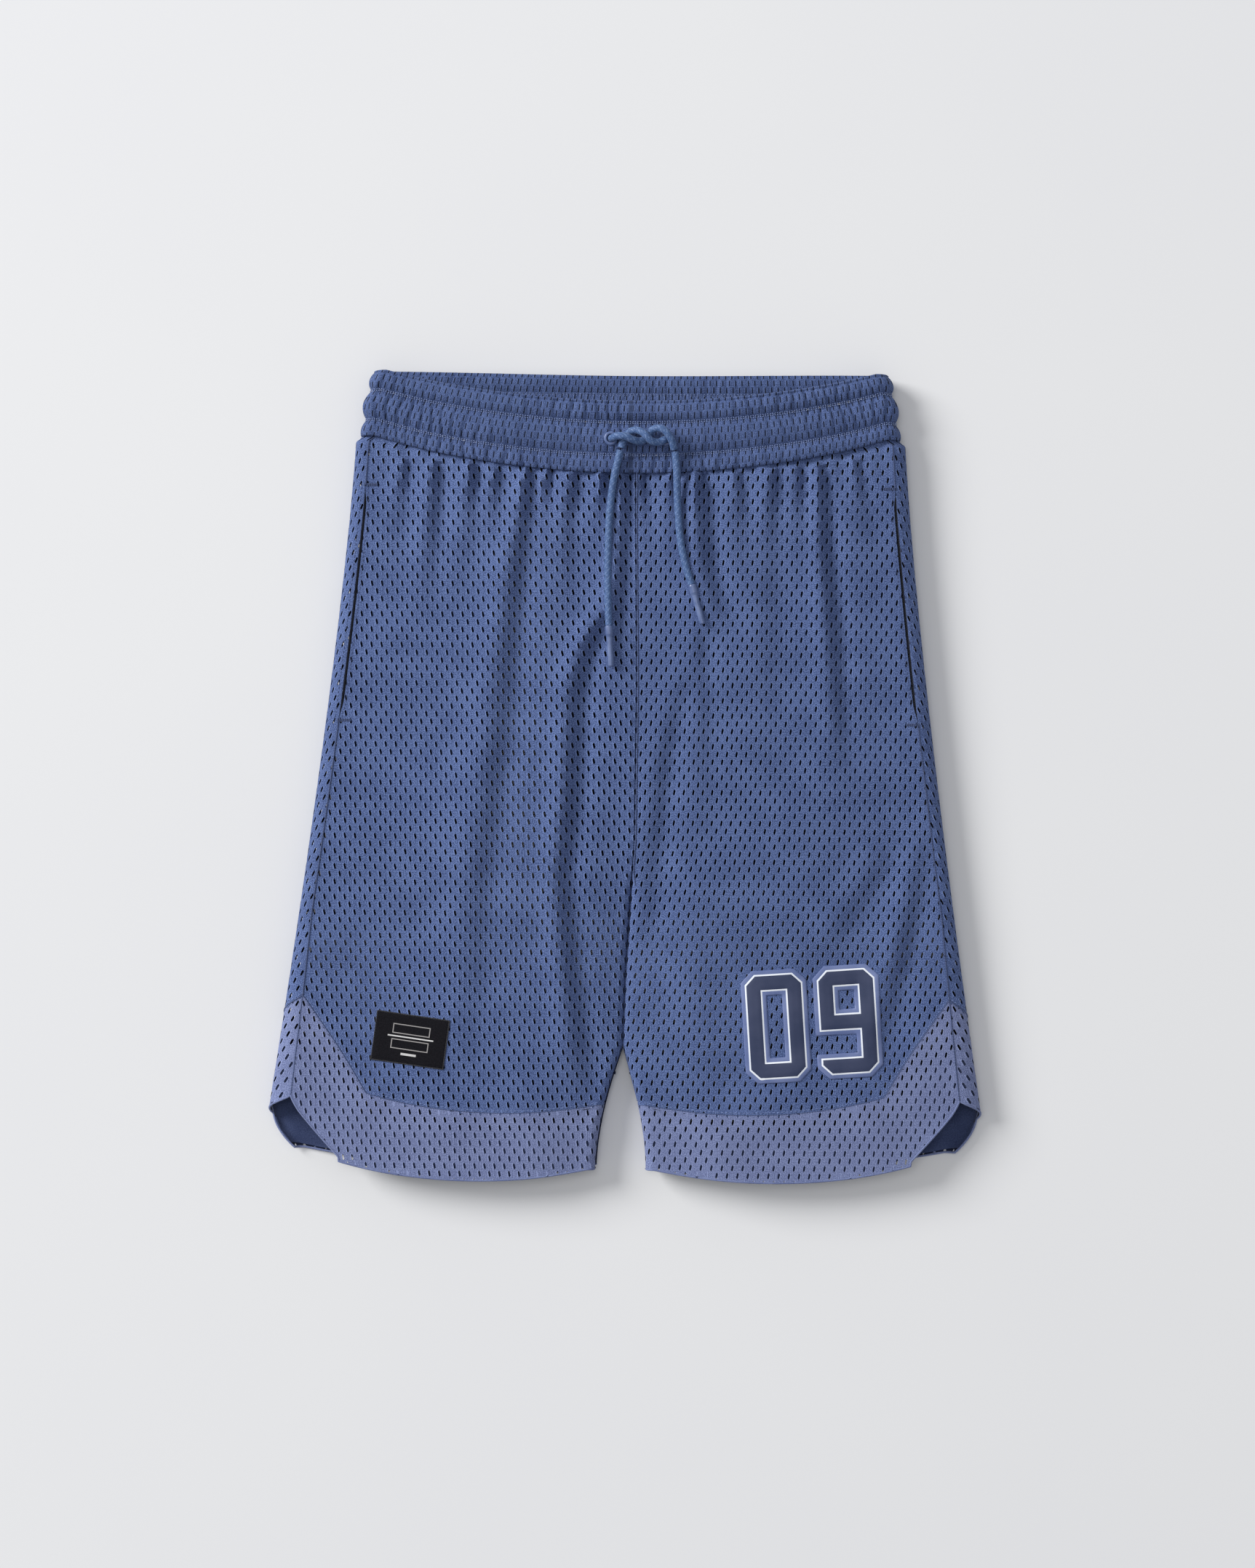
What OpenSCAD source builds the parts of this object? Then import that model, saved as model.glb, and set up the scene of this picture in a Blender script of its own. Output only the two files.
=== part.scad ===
// Mesh basketball shorts, lying flat on their back with the front up.
// Frame: +Z up, +Y towards the waist, +X to the right of the person looking down at them.
// The origin is on the surface that they lie on, under the middle. Millimetres.

/* [Overall] */
// Length from the top of the waist to the lowest point of the hem
length = 529; // [515:1:545]
// Half of the flat width at the top of the waist
waist_half = 169; // [160:1:176]
// Half of the flat width at the waist seam
seam_half = 180; // [178:1:186]
// Half of the flat width at the side vents, the widest place
hem_half = 233.5; // [225:0.5:240]
// Height of the middle of the front above the surface
crest_h = 24; // [23:0.5:28]
// Radius of the fold down each side
fold_r = 9; // [8.8:0.1:10]
// Thickness of the mesh cloth
cloth_t = 1.2; // [0.8:0.1:1.4]

/* [Waistband] */
// Height of the waistband at the middle of the front
band_front_h = 47; // [44:1:50]
// Height of the waistband at the sides and the back
band_side_h = 43; // [40:1:46]
// How far the front of the waist dips below its ends
waist_dip = 19.5; // [15:0.5:23]
// How far the waistband's tunnels swell out of the cloth
tunnel_bulge = 2.4; // [2:0.1:2.8]
// Thickness of the waistband's cloth
casing_t = 0.8; // [0.6:0.1:1]
// Thickness of the elastic
elastic_t = 1; // [0.8:0.1:1.2]

/* [Legs and hem] */
// Height of the crotch above the lowest point of the hem
crotch_h = 194.5; // [180:0.5:205]
// Height above the hem where the legs part
legs_part_h = 90; // [80:1:100]
// Half of the gap between the legs at the hem
leg_gap = 17; // [10:1:22]
// Height of the hem band at the middle of a leg
hem_band_h = 44; // [38:1:50]
// Height of the band's point at the side seam
band_peak_h = 120; // [110:1:130]
// Height of the top of the side vent
vent_h = 54.5; // [50:0.5:58]
// How much of the hem band is left unfaced at its upper edge, as a share of its height
facing_from = 0.3; // [0.2:0.05:0.5]

/* [Pockets] */
// Height of the lower end of the pocket's mouth above the hem
pocket_low_h = 300; // [290:1:310]
// Length of the pocket's mouth
pocket_mouth = 154; // [140:1:160]
// Width of the open mouth
pocket_gap = 6.5; // [6:0.1:7]

/* [Drawcord] */
// Diameter of the round cord
cord_d = 4.8; // [4:0.1:4.8]
// Distance of each eyelet from the middle
eyelet_x = 18; // [18:0.1:18.4]
// Outer diameter of an eyelet
eyelet_d = 9.2; // [8.8:0.1:9.6]
// Length of a cord tip
aglet_l = 27; // [22:1:30]
// Diameter of a cord tip's collar
aglet_d = 5.4; // [5:0.1:5.4]

/* [Trim] */
// Width of one numeral without its borders
numeral_w = 36; // [32:1:38]
// Height of one numeral without its borders
numeral_h = 67; // [60:1:70]
// Width of a numeral's strokes
numeral_stroke = 9.5; // [8:0.5:11]
// Width of the white outline round a numeral
numeral_outline = 1.1; // [0.8:0.1:1.4]
// Width of the blue border round the outline
numeral_border = 2.4; // [1.8:0.1:2.6]
// Width of the woven patch
patch_w = 47.5; // [40:0.5:52]
// Height of the woven patch
patch_h = 32; // [26:0.5:36]

/* [Hidden] */

top_y = length / 2;
low_y = -length / 2;
seam_side_y = top_y - band_side_h;          // waist seam at the sides and the back
seam_mid_y = top_y - waist_dip - band_front_h;  // waist seam at the middle of the front
crotch_y = low_y + crotch_h;
part_y = low_y + legs_part_h;
wide_y = low_y + 45;                        // the widest place, where the vent's back edge starts to round
vent_y = low_y + vent_h;
peak_y = low_y + band_peak_h;
pocket_low_y = low_y + pocket_low_h;
pocket_top_y = pocket_low_y + pocket_mouth;
inner_r = 5;                                // radius of the fold down the inside of each leg
leg_mid_z = 8;                              // where front and back meet inside the leg
flat_share = 0.45;                          // how much of the half width is level
corner_s = 0.75;                            // where the hem band turns up towards the side seam
air = 0.1;                                  // gap between touching layers
part_gap = 0.05;                            // half of the gap between left and right

// Where the tunnel's middle is, as a share of the waistband's height
cord_tunnel = 0.475;
// The stitched rows of the waistband, as shares of its height
rows = [0, 0.25, 0.70, 1];
// The waistband's top over the level part of the front
band_top_z = crest_h + tunnel_bulge;
eyelet_y = seam_mid_y + cord_tunnel * band_front_h;
eyelet_bore = cord_d + 0.4;
flange_t = 0.8;

// The waist fastening sits a little to one side of the middle
closure_x = 5;
// Cord routes: x from the fastening's middle, y, and height of the cord's middle above the waistband's top.
low_lay = 2.6;
high_lay = 7.9;
strand_a = [
    [-18, 220.3, -1.2], [-18, 220.3, 1.8], [-16.9, 220.6, 4.2], [-13.6, 221.3, 6.6], [-8.6, 220.9, high_lay],
    [-4, 219, 6.6], [0.4, 218.2, 4], [4.6, 219.8, low_lay], [6.6, 222.4, 2.7], [9.6, 226, 4.6],
    [14, 226.4, 6.8], [18, 224, 7.6], [21.6, 218.6, 6.2], [23.2, 213.4, 3.6]
];
strand_b = [
    [18, 220.3, -1.2], [18, 220.3, 1.4], [16.6, 219.3, 3.5], [13.2, 217.6, 4.6], [8.8, 218, 6.8],
    [5.6, 220.8, high_lay], [2.4, 223.8, 7], [-1.6, 225.2, 5], [-5.4, 224.4, 3.1], [-8.4, 221.6, low_lay],
    [-10, 218, low_lay], [-11.3, 213.8, low_lay]
];
tail_a = [
    [23.8, 211.6], [24.6, 205], [25.1, 198], [25.3, 191], [25.7, 180], [26.5, 168],
    [27.6, 156], [29.6, 145], [32.2, 135], [35.4, 125.6]
];
tail_b = [
    [-11.8, 212.2], [-13.4, 205], [-15, 198], [-16.3, 191], [-17.6, 180], [-18.6, 168], [-19, 156],
    [-19.2, 144], [-19.2, 132], [-19, 120], [-18.7, 109], [-18.2, 98.4]
];
aglet_a_turn = 16.3;
aglet_b_turn = 3.4;

// Trim: x, y and turn of each numeral and of the patch
numeral_places = [[98, -162, 4], [145, -158.5, 4]];
patch_place = [-140.5, -173, -7.5];
trim_t = 0.5;

navy = [0.13, 0.19, 0.33];
mesh_blue = [0.30, 0.40, 0.62];
band_blue = [0.42, 0.48, 0.66];
waist_blue = [0.26, 0.34, 0.54];
cord_blue = [0.33, 0.43, 0.64];

// ---- Small helpers

function mix(a, b, t) = a + (b - a) * t;
function share(t) = min(1, max(0, t));
function smooth(t) = let (c = share(t)) c * c * (3 - 2 * c);
function steps(a, b, n) = [for (i = [0 : n]) a + (b - a) * i / n];
function backwards(list) = [for (i = [len(list) - 1 : -1 : 0]) list[i]];
function unit(v) = v / norm(v);

// ---- The shape of the body

// Half of the flat width at the height y
function half_width(y) =
    y > seam_side_y ? mix(seam_half, waist_half, (y - seam_side_y) / band_side_h)
    : y > wide_y ? seam_half + (hem_half - seam_half) * pow((seam_side_y - y) / (seam_side_y - wide_y), 1.25)
    : hem_half;

// The back's lower corner is rounded at the vent
function corner_in(y) = 13.5 * pow(share((wide_y - y) / 30) * 30 / 25, 2);

function inner_x(y) = part_gap + leg_gap * sin(90 * share((part_y - 1 - y) / (legs_part_h - 5)));
function crest_z(y) = mix(crest_h, crest_h - 4, smooth((-40 - y) / 220));
function inner_z(y) = mix(crest_h, 2 * leg_mid_z, smooth((60 - y) / 220));

// Height of the front at x, y
function front_z(x, y) =
    let (
        out = half_width(y) - fold_r,
        level = flat_share * out,
        fall = (crest_z(y) - 2 * fold_r) * smooth((x - level) / (out - level)),
        dip = (crest_z(y) - inner_z(y)) * (1 - smooth((x - inner_x(y) - inner_r) / 45))
    )
    crest_z(y) - fall - max(0, dip);

// How far the inside leg seam's edges reach, on the front and on the back
function joined(y) = smooth((crotch_y + 10 - y) / 15);
function front_edge_z(y) = mix(inner_z(y) - inner_r - 1, leg_mid_z + part_gap, joined(y));
function back_edge_z(y) = mix(inner_r + 1, leg_mid_z - part_gap, joined(y));

// A point of the outer skin and its outward normal: [x, z, nx, nz].
// s runs from -1 at the front's inner edge, 0 where the front lies level, 1 at the side seam,
// 2 under the side fold, 3 at the back's inner fold, to 4 at the back's inner edge.
function skin(s, y) =
    s < -0.5 ? [inner_x(y), mix(inner_z(y) - inner_r, front_edge_z(y), -2 * s - 1), -1, 0]
    : s < 0 ? let (a = 90 - 180 * s)
        [inner_x(y) + inner_r + inner_r * cos(a), inner_z(y) - inner_r + inner_r * sin(a), cos(a), sin(a)]
    : s <= 1 ? let (
            x = mix(inner_x(y) + inner_r, half_width(y) - fold_r, s),
            n = unit([front_z(x - 0.5, y) - front_z(x + 0.5, y), 1])
        )
        [x, front_z(x, y), s == 1 ? 0 : n[0], s == 1 ? 1 : n[1]]
    : s <= 2 ? let (a = 270 - 180 * s)
        [half_width(y) - corner_in(y) - fold_r + fold_r * cos(a), fold_r + fold_r * sin(a), cos(a), sin(a)]
    : s <= 3 ? [mix(half_width(y) - corner_in(y) - fold_r, inner_x(y) + inner_r, s - 2), 0, 0, -1]
    : s <= 3.5 ? let (a = -90 - 180 * (s - 3))
        [inner_x(y) + inner_r + inner_r * cos(a), inner_r + inner_r * sin(a), cos(a), sin(a)]
    : [inner_x(y), mix(inner_r, back_edge_z(y), 2 * s - 7), -1, 0];

// A closed sheet of cloth between the depths d0 and d1 under the skin
module sheet(ss, vs, y_of, d0, d1, s_of = function (s, y) s) {
    ns = len(ss);
    nv = len(vs);
    points = [
        for (d = [d0, d1]) for (v = vs) for (s = ss)
            let (y = y_of(s, v), p = skin(s_of(s, y), y)) [p[0] - p[2] * d, y, p[1] - p[3] * d]
    ];
    under = ns * nv;
    cells = [
        for (i = [0 : nv - 2]) for (j = [0 : ns - 2])
            let (a = i * ns + j, b = a + 1, c = a + ns, d = c + 1)
            each [[a, b, d], [a, d, c], [under + a, under + d, under + b], [under + a, under + c, under + d]]
    ];
    ends = [
        for (j = [0 : ns - 2])
            let (a = j, b = j + 1, c = (nv - 1) * ns + j, d = c + 1)
            each [
                [b, a, under + a], [b, under + a, under + b],
                [c, d, under + d], [c, under + d, under + c]
            ]
    ];
    sides = [
        for (i = [0 : nv - 2])
            let (a = i * ns, c = a + ns, b = a + ns - 1, d = b + ns)
            each [
                [a, c, under + c], [a, under + c, under + a],
                [d, b, under + b], [d, under + b, under + d]
            ]
    ];
    polyhedron(points, concat(cells, ends, sides), convexity = 6);
}

// Rings of points joined into a closed tube. The rings have an even number of points.
module rings(list) {
    n = len(list[0]);
    last = len(list) - 1;
    walls = [
        for (i = [0 : last - 1]) for (k = [0 : n - 1])
            let (a = i * n + k, b = i * n + (k + 1) % n)
            each [[a, b, b + n], [a, b + n, a + n]]
    ];
    caps = [
        for (k = [0 : n / 2 - 2])
            let (a = k, b = k + 1, c = n - 2 - k, d = n - 1 - k, e = last * n)
            each [[c, b, a], [d, c, a], [e + a, e + b, e + c], [e + a, e + c, e + d]]
    ];
    polyhedron([for (ring = list) each ring], concat(walls, caps), convexity = 6);
}

// A ring frame carried along a route without twisting
function heading(route, i) = unit(route[min(i + 1, len(route) - 1)] - route[max(i - 1, 0)]);
function carry(route, i, n) =
    let (t = heading(route, i), m = unit(n - t * (n * t)))
    i == len(route) - 1 ? [[m, cross(m, t)]] : concat([[m, cross(m, t)]], carry(route, i + 1, m));

module tube(route, r, sides) {
    frames = carry(route, 0, [0, 0.02, 1]);
    rings([
        for (i = [0 : len(route) - 1])
            [for (k = [0 : sides - 1])
                route[i] + r * (cos(360 * k / sides) * frames[i][0] + sin(360 * k / sides) * frames[i][1])]
    ]);
}

module for_side(side) {
    if (side == "left") mirror([1, 0, 0]) children();
    else children();
}

// ---- The edges of the panels

front_ss = concat([-1, -0.5, -0.25], steps(0, corner_s, 8), [0.82, 0.88, 0.94, 1]);
back_ss = concat(steps(1, 2, 6), [2.13, 2 + 1 - corner_s, 2.5, 2.75], [3, 3.25, 3.5, 4]);

function waist_seam_front(s) = mix(seam_mid_y, seam_side_y, pow(share(s), 2));
function band_line_mid(s) = low_y + hem_band_h + 61 * pow(s - 0.3, 2);
function band_line_front(s) =
    let (c = share(s))
    c <= corner_s ? band_line_mid(c) : mix(band_line_mid(corner_s), peak_y, (c - corner_s) / (1 - corner_s));
function band_line_back(s) =
    let (fold_end = peak_y - 22, b = share(3 - s))
    s <= 2 ? mix(peak_y, fold_end, s - 1)
    : b >= corner_s ? mix(band_line_mid(corner_s), fold_end, (b - corner_s) / (1 - corner_s))
    : band_line_mid(b);
function hem_front(s) = low_y + 55 * pow(min(share(s), 0.87) - 0.37, 2);
function hem_back(s) = low_y + 5.5 + 35 * pow(share(3 - s) - 0.37, 2);

// The front's outer edge stands back from the side seam at the pocket's mouth and at the vent
function drawn_in(s, reach) = s <= corner_s ? s : mix(corner_s, reach, (s - corner_s) / (1 - corner_s));
function at_pocket(y) = smooth((y - pocket_low_y) / 4) * smooth((pocket_top_y - y) / 4);
function pocket_edge(s, y) = drawn_in(s, 1 - at_pocket(y) * pocket_gap / (half_width(y) - fold_r - inner_r));
function vent_front(s, y) = drawn_in(s, 1 - 0.17 * pow(share((vent_y - y) / 40), 1.2));
function vent_back(s, y) = s < 2 ? 2 - (2 - s) * (1 - 0.7 * share((vent_y - y) / 35)) : s;

// ---- The pieces

module front_panel(side) {
    color(mesh_blue) for_side(side)
        sheet(front_ss, steps(0, 1, 17),
            function (s, v) mix(waist_seam_front(s) - air, band_line_front(s) + air, v),
            0, cloth_t, function (s, y) pocket_edge(s, y));
}

module back_panel(side) {
    color(mesh_blue) for_side(side)
        sheet(back_ss, steps(0, 1, 12),
            function (s, v) mix(seam_side_y - air, band_line_back(s) + air, v), 0, cloth_t);
}

// Rows of the hem band from its upper edge to the hem, and those that the facing has
hem_vs = concat([0, facing_from / 2], steps(facing_from, 0.9, 6), [0.97, 1]);
facing_vs = [for (v = hem_vs) if (v >= facing_from && v < 0.98) v];

module hem_band_front(side) {
    color(band_blue) for_side(side)
        sheet(front_ss, hem_vs,
            function (s, v) mix(band_line_front(s), hem_front(s), v),
            0, cloth_t, function (s, y) vent_front(s, y));
}

module hem_band_back(side) {
    color(band_blue) for_side(side)
        sheet(back_ss, hem_vs,
            function (s, v) mix(band_line_back(s), hem_back(s), v),
            0, cloth_t, function (s, y) vent_back(s, y));
}

module hem_facing_front(side) {
    color(navy) for_side(side)
        sheet([for (s = front_ss) if (s >= 0) s], facing_vs,
            function (s, v) mix(band_line_front(s), hem_front(s), v),
            cloth_t + air, cloth_t + air + 0.6, function (s, y) vent_front(s, y));
}

module hem_facing_back(side) {
    color(navy) for_side(side)
        sheet([for (s = back_ss) if (s <= 3) s], facing_vs,
            function (s, v) mix(band_line_back(s), hem_back(s), v),
            cloth_t + air, cloth_t + air + 0.6, function (s, y) vent_back(s, y));
}

// Waistband. A station is [side, s]: side is 1 on the right and -1 on the left.
// t runs from the waist seam to the top edge and d is the height over the skin.
front_stations = concat(
    [for (s = backwards([0, 0.1, 0.25, 0.4, 0.5, 0.6, 0.7, 0.8, 0.9, 1])) [-1, s]],
    [for (s = [0, 0.1, 0.25, 0.4, 0.5, 0.6, 0.7, 0.8, 0.9, 1]) [1, s]]
);
back_stations = concat(
    [for (s = concat(steps(1, 2, 6), [2.5, 3])) [1, s]],
    [for (s = backwards(concat(steps(1, 2, 6), [2.5, 3]))) [-1, s]]
);
loop_stations = concat(
    [for (st = front_stations) if (st[0] > 0) st],
    [for (st = back_stations) if (st[1] > 1) st],
    [for (st = front_stations) if (st[0] < 0) st]
);

function band_y(s, t) =
    s <= 1
    ? mix(waist_seam_front(s), top_y - waist_dip * (1 - pow(s, 2)), t)
    : mix(seam_side_y, top_y - 1.5 * smooth((s - 2) / 1), t);
// The tunnels rest on the surface at the back, so the whole band is lifted there
function band_lift(s) = tunnel_bulge * smooth(s - 1);
function band_point(station, t, d) =
    let (s = station[1], y = band_y(s, t), p = skin(s, y), e = d - band_lift(s))
    [station[0] * (p[0] + p[2] * e), y, p[1] + p[3] * e];

// Height of the outer cloth over the skin: three tunnels between the stitched rows
function tunnel(t) =
    let (row = t < rows[1] ? 0 : t < rows[2] ? 1 : 2)
    0.4 + (tunnel_bulge - 0.4) * pow(sin(180 * share((t - rows[row]) / (rows[row + 1] - rows[row]))), 0.7);

inner_d = -5;                               // the inner cloth's inner face
outer_ts = [0.02, 0.07, 0.18, 0.25, 0.33, 0.4, 0.55, 0.63, 0.7, 0.77, 0.86, 0.94];
band_outline = concat(
    [for (t = outer_ts) [t, tunnel(t)]],
    [[1, -0.2], [1.01, -2.4], [1, -4.4], [0.97, inner_d], [0.02, inner_d]],
    [[0.02, inner_d + casing_t], [0.5, inner_d + casing_t], [0.96, inner_d + casing_t]],
    [[0.98, -2.4], [0.97, -0.7]],
    [for (t = backwards(outer_ts)) [t, tunnel(t) - casing_t]]
);

module band_sweep(stations) {
    rings([for (st = stations) [for (q = band_outline) band_point(st, q[0], q[1])]]);
}

module waistband_front() {
    color(waist_blue) difference() {
        band_sweep(front_stations);
        for (x = [-eyelet_x, eyelet_x])
            translate([closure_x + x, eyelet_y, crest_h])
                cylinder(r = eyelet_bore / 2 + 0.8, h = 5, $fn = 48);
    }
}

module waistband_back() {
    color(waist_blue) band_sweep(back_stations);
}

module waist_elastic() {
    low = inner_d + casing_t + air;
    color("white")
        rings([
            for (st = loop_stations)
                [for (q = [[0.05, low + elastic_t], [0.94, low + elastic_t], [0.94, low], [0.05, low]])
                    band_point(st, q[0], q[1])]
        ]);
}

// A flattened cord round the inside of the cord tunnel, from eyelet to eyelet
module drawcord_run() {
    function first_s(x) = (x - inner_r) / (half_width(eyelet_y) - fold_r - inner_r);
    function half(x) = concat(steps(first_s(x), 1, 9), steps(1.17, 2, 5), steps(2.25, 3, 3));
    stations = concat(
        [for (s = half(eyelet_x + closure_x)) [1, s]],
        [for (s = backwards(half(eyelet_x - closure_x))) [-1, s]]
    );
    middle_d = -1.2;
    color(cord_blue)
        rings([
            for (st = stations)
                [for (k = [0 : 7])
                    band_point(st, cord_tunnel + 0.058 * sin(45 * k), middle_d + 1.7 * cos(45 * k))]
        ]);
}

// The pocket bag is a flat pouch of two plies and the edge that they are sewn into. Its mouth
// comes up under the slit at the side seam.
bag_floor = 4;
bag_roof = 13.5;
bag_ply = 0.7;
mouth_low = half_width(pocket_low_y) - fold_r - pocket_gap;
mouth_top = half_width(pocket_top_y) - fold_r - pocket_gap;

// The mouth's two ends, g outwards of the slit's inner edge and drawn in by e
function mouth_edge(g, e = 0) = [[mouth_top + g, pocket_top_y - e], [mouth_low + g, pocket_low_y + e]];
module mouth_strip(g0, g1, e = 0) {
    polygon([each mouth_edge(g0, e), each backwards(mouth_edge(g1, e))]);
}
module bag_outline(inset) {
    bag_in = 88 + inset;
    bag_low = pocket_low_y - 62 + inset;
    bag_top = pocket_top_y + 8 - inset;
    polygon([
        [bag_in, bag_top], [mouth_top - 1 - inset, bag_top], each mouth_edge(pocket_gap - air - inset),
        [mouth_low - inset, bag_low + 30], [mouth_low - 30 - inset / 2, bag_low],
        [bag_in + 12, bag_low], [bag_in, bag_low + 12]
    ]);
}

module pocket_bag_back(side) {
    color(navy) for_side(side) translate([0, 0, bag_floor]) linear_extrude(bag_ply) bag_outline(0);
}

module pocket_bag_front(side) {
    color(navy) for_side(side) translate([0, 0, bag_roof - bag_ply]) {
        linear_extrude(bag_ply) difference() {
            bag_outline(0);
            mouth_strip(0, pocket_gap + 5, 1);
        }
        linear_extrude(16.5 - bag_roof + bag_ply) mouth_strip(-bag_ply, 0);
    }
}

module pocket_bag_edge(side) {
    color(navy) for_side(side) translate([0, 0, bag_floor + bag_ply]) {
        linear_extrude(bag_roof - bag_floor - 2 * bag_ply) difference() {
            bag_outline(0);
            bag_outline(bag_ply);
        }
        linear_extrude(16.5 - bag_floor - bag_ply)
            mouth_strip(pocket_gap - air - bag_ply, pocket_gap - air, 1);
    }
}

module pocket_bartacks() {
    tack = [8, 2, 0.8];
    color(navy)
        for (side = ["left", "right"]) for_side(side)
            for (y = [pocket_low_y, pocket_top_y])
                let (x = half_width(y) - fold_r - tack[0])
                    translate([x, y - tack[1] / 2, front_z(x, y) + air]) cube(tack);
}

// A pressed metal ring: a flange over the cloth and a barrel through it
module eyelet(side) {
    bore_r = eyelet_bore / 2;
    top = band_top_z + air + flange_t;
    x = closure_x + (side == "left" ? -eyelet_x : eyelet_x);
    color(cord_blue) translate([x, eyelet_y, 0]) rotate_extrude($fn = 64) polygon([
        [bore_r, top - 2.6], [bore_r + 0.6, top - 2.6], [bore_r + 0.6, top - flange_t],
        [eyelet_d / 2, top - flange_t], [eyelet_d / 2 - 0.2, top - 0.35], [eyelet_d / 2 - 0.9, top],
        [bore_r + 0.5, top], [bore_r, top - 0.4]
    ]);
}

module eyelet_washers() {
    top = band_top_z - casing_t - 0.5;
    color("silver")
        for (x = [-eyelet_x, eyelet_x]) translate([closure_x + x, eyelet_y, top - 0.5]) difference() {
            cylinder(d = eyelet_d, h = 0.5, $fn = 64);
            translate([0, 0, -1]) cylinder(r = eyelet_bore / 2 + 0.7, h = 3, $fn = 64);
        }
}

function laid(route) = [for (p = route) [closure_x + p[0], p[1], band_top_z + p[2]]];
// A tail comes down from the waistband onto the front panel
panel_lay_z = crest_h + 0.3 + aglet_d / 2;
function tail_z(y) = mix(band_top_z + low_lay, panel_lay_z, smooth((seam_mid_y - y) / 17));
function tail_route(route) = [for (p = route) [closure_x + p[0], p[1], tail_z(p[1])]];

module drawcord_knot() {
    color(cord_blue) {
        tube(laid(strand_a), cord_d / 2, 8);
        tube(laid(strand_b), cord_d / 2, 8);
    }
}

module drawcord_tail(route) {
    color(cord_blue) tube(tail_route(route), cord_d / 2, 8);
}

// A dipped tip: a fat collar where it takes the cord, then a plain rod
module aglet(route, turn) {
    end = route[len(route) - 1];
    rod_r = 2.1;
    color(cord_blue) translate([closure_x + end[0], end[1], panel_lay_z])
        rotate([0, 0, turn]) rotate([90, 0, 0]) rotate_extrude($fn = 48) polygon([
            [0, 0.05], [aglet_d / 2 - 0.5, 0.05], [aglet_d / 2, 1.2], [aglet_d / 2, 5.6],
            [rod_r + 0.1, 7.4], [rod_r, 9], [rod_r, aglet_l - 0.8], [rod_r - 0.7, aglet_l], [0, aglet_l]
        ]);
}

// A thin layer over the front of a leg, cut to the outline given as children
module layer(side, place, height) {
    lift = 0.2 + height * (trim_t + 0.05);
    intersection() {
        for_side(side)
            sheet(steps(0.28, 0.86, 8), steps(0, 1, 6), function (s, v) mix(-116, -208, v),
                -lift - trim_t, -lift);
        translate([place[0], place[1], 0]) rotate([0, 0, place[2]]) linear_extrude(60) children();
    }
}

// Plain block numerals from bars: a top, b and c right, d bottom, e and f left, g middle
bars_zero = ["a", "b", "c", "d", "e", "f"];
bars_nine = ["a", "b", "c", "d", "f", "g"];
module numeral(bars, grow) {
    w = numeral_w / 2;
    h = numeral_h / 2;
    t = numeral_stroke;
    spans = [
        ["a", -w, h - t, w, h], ["b", w - t, -t / 2, w, h], ["c", w - t, -h, w, t / 2],
        ["d", -w, -h, w, -h + t], ["e", -w, -h, -w + t, t / 2], ["f", -w, -t / 2, -w + t, h],
        ["g", -w, -t / 2, w, t / 2]
    ];
    cut = 6;
    intersection() {
        union() for (b = spans) if (len([for (bar = bars) if (bar == b[0]) bar]) > 0)
            translate([b[1] - grow, b[2] - grow]) square([b[3] - b[1] + 2 * grow, b[4] - b[2] + 2 * grow]);
        polygon([
            [-w - grow, -h + cut - grow / 2], [-w + cut - grow / 2, -h - grow], [w - cut + grow / 2, -h - grow],
            [w + grow, -h + cut - grow / 2], [w + grow, h - cut + grow / 2], [w - cut + grow / 2, h + grow],
            [-w + cut - grow / 2, h + grow], [-w - grow, h - cut + grow / 2]
        ]);
    }
}

module numeral_layer(which, height) {
    layer("right", numeral_places[which], height)
        numeral(
            which == 0 ? bars_zero : bars_nine,
            [numeral_outline + numeral_border, numeral_outline, 0][height]
        );
}

module woven_patch() {
    color([0.12, 0.12, 0.14]) layer("left", patch_place, 0) square([patch_w, patch_h], center = true);
}

front_panel("left");  // front_panel_left
front_panel("right");  // front_panel_right
back_panel("left");  // back_panel_left
back_panel("right");  // back_panel_right
hem_band_front("left");  // hem_band_front_left
hem_band_front("right");  // hem_band_front_right
hem_band_back("left");  // hem_band_back_left
hem_band_back("right");  // hem_band_back_right
hem_facing_front("left");  // hem_facing_front_left
hem_facing_front("right");  // hem_facing_front_right
hem_facing_back("left");  // hem_facing_back_left
hem_facing_back("right");  // hem_facing_back_right
waistband_front();
waistband_back();
waist_elastic();
pocket_bag_back("left");  // pocket_bag_back_left
pocket_bag_back("right");  // pocket_bag_back_right
pocket_bag_front("left");  // pocket_bag_front_left
pocket_bag_front("right");  // pocket_bag_front_right
pocket_bag_edge("left");  // pocket_bag_edge_left
pocket_bag_edge("right");  // pocket_bag_edge_right
pocket_bartacks();
eyelet("left");  // eyelet_left
eyelet("right");  // eyelet_right
eyelet_washers();
drawcord_run();
drawcord_knot();
drawcord_tail(tail_b);  // drawcord_tail_left
drawcord_tail(tail_a);  // drawcord_tail_right
aglet(tail_b, aglet_b_turn);  // aglet_left
aglet(tail_a, aglet_a_turn);  // aglet_right
woven_patch();
color(mesh_blue) numeral_layer(0, 0);  // numeral_a_border
color("white") numeral_layer(0, 1);  // numeral_a_outline
color(navy) numeral_layer(0, 2);  // numeral_a_face
color(mesh_blue) numeral_layer(1, 0);  // numeral_b_border
color("white") numeral_layer(1, 1);  // numeral_b_outline
color(navy) numeral_layer(1, 2);  // numeral_b_face
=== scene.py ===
# Mesh basketball shorts laid flat: the cloth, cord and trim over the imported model.
import math
import bmesh
import bpy
import numpy as np
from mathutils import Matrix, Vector, geometry


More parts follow.
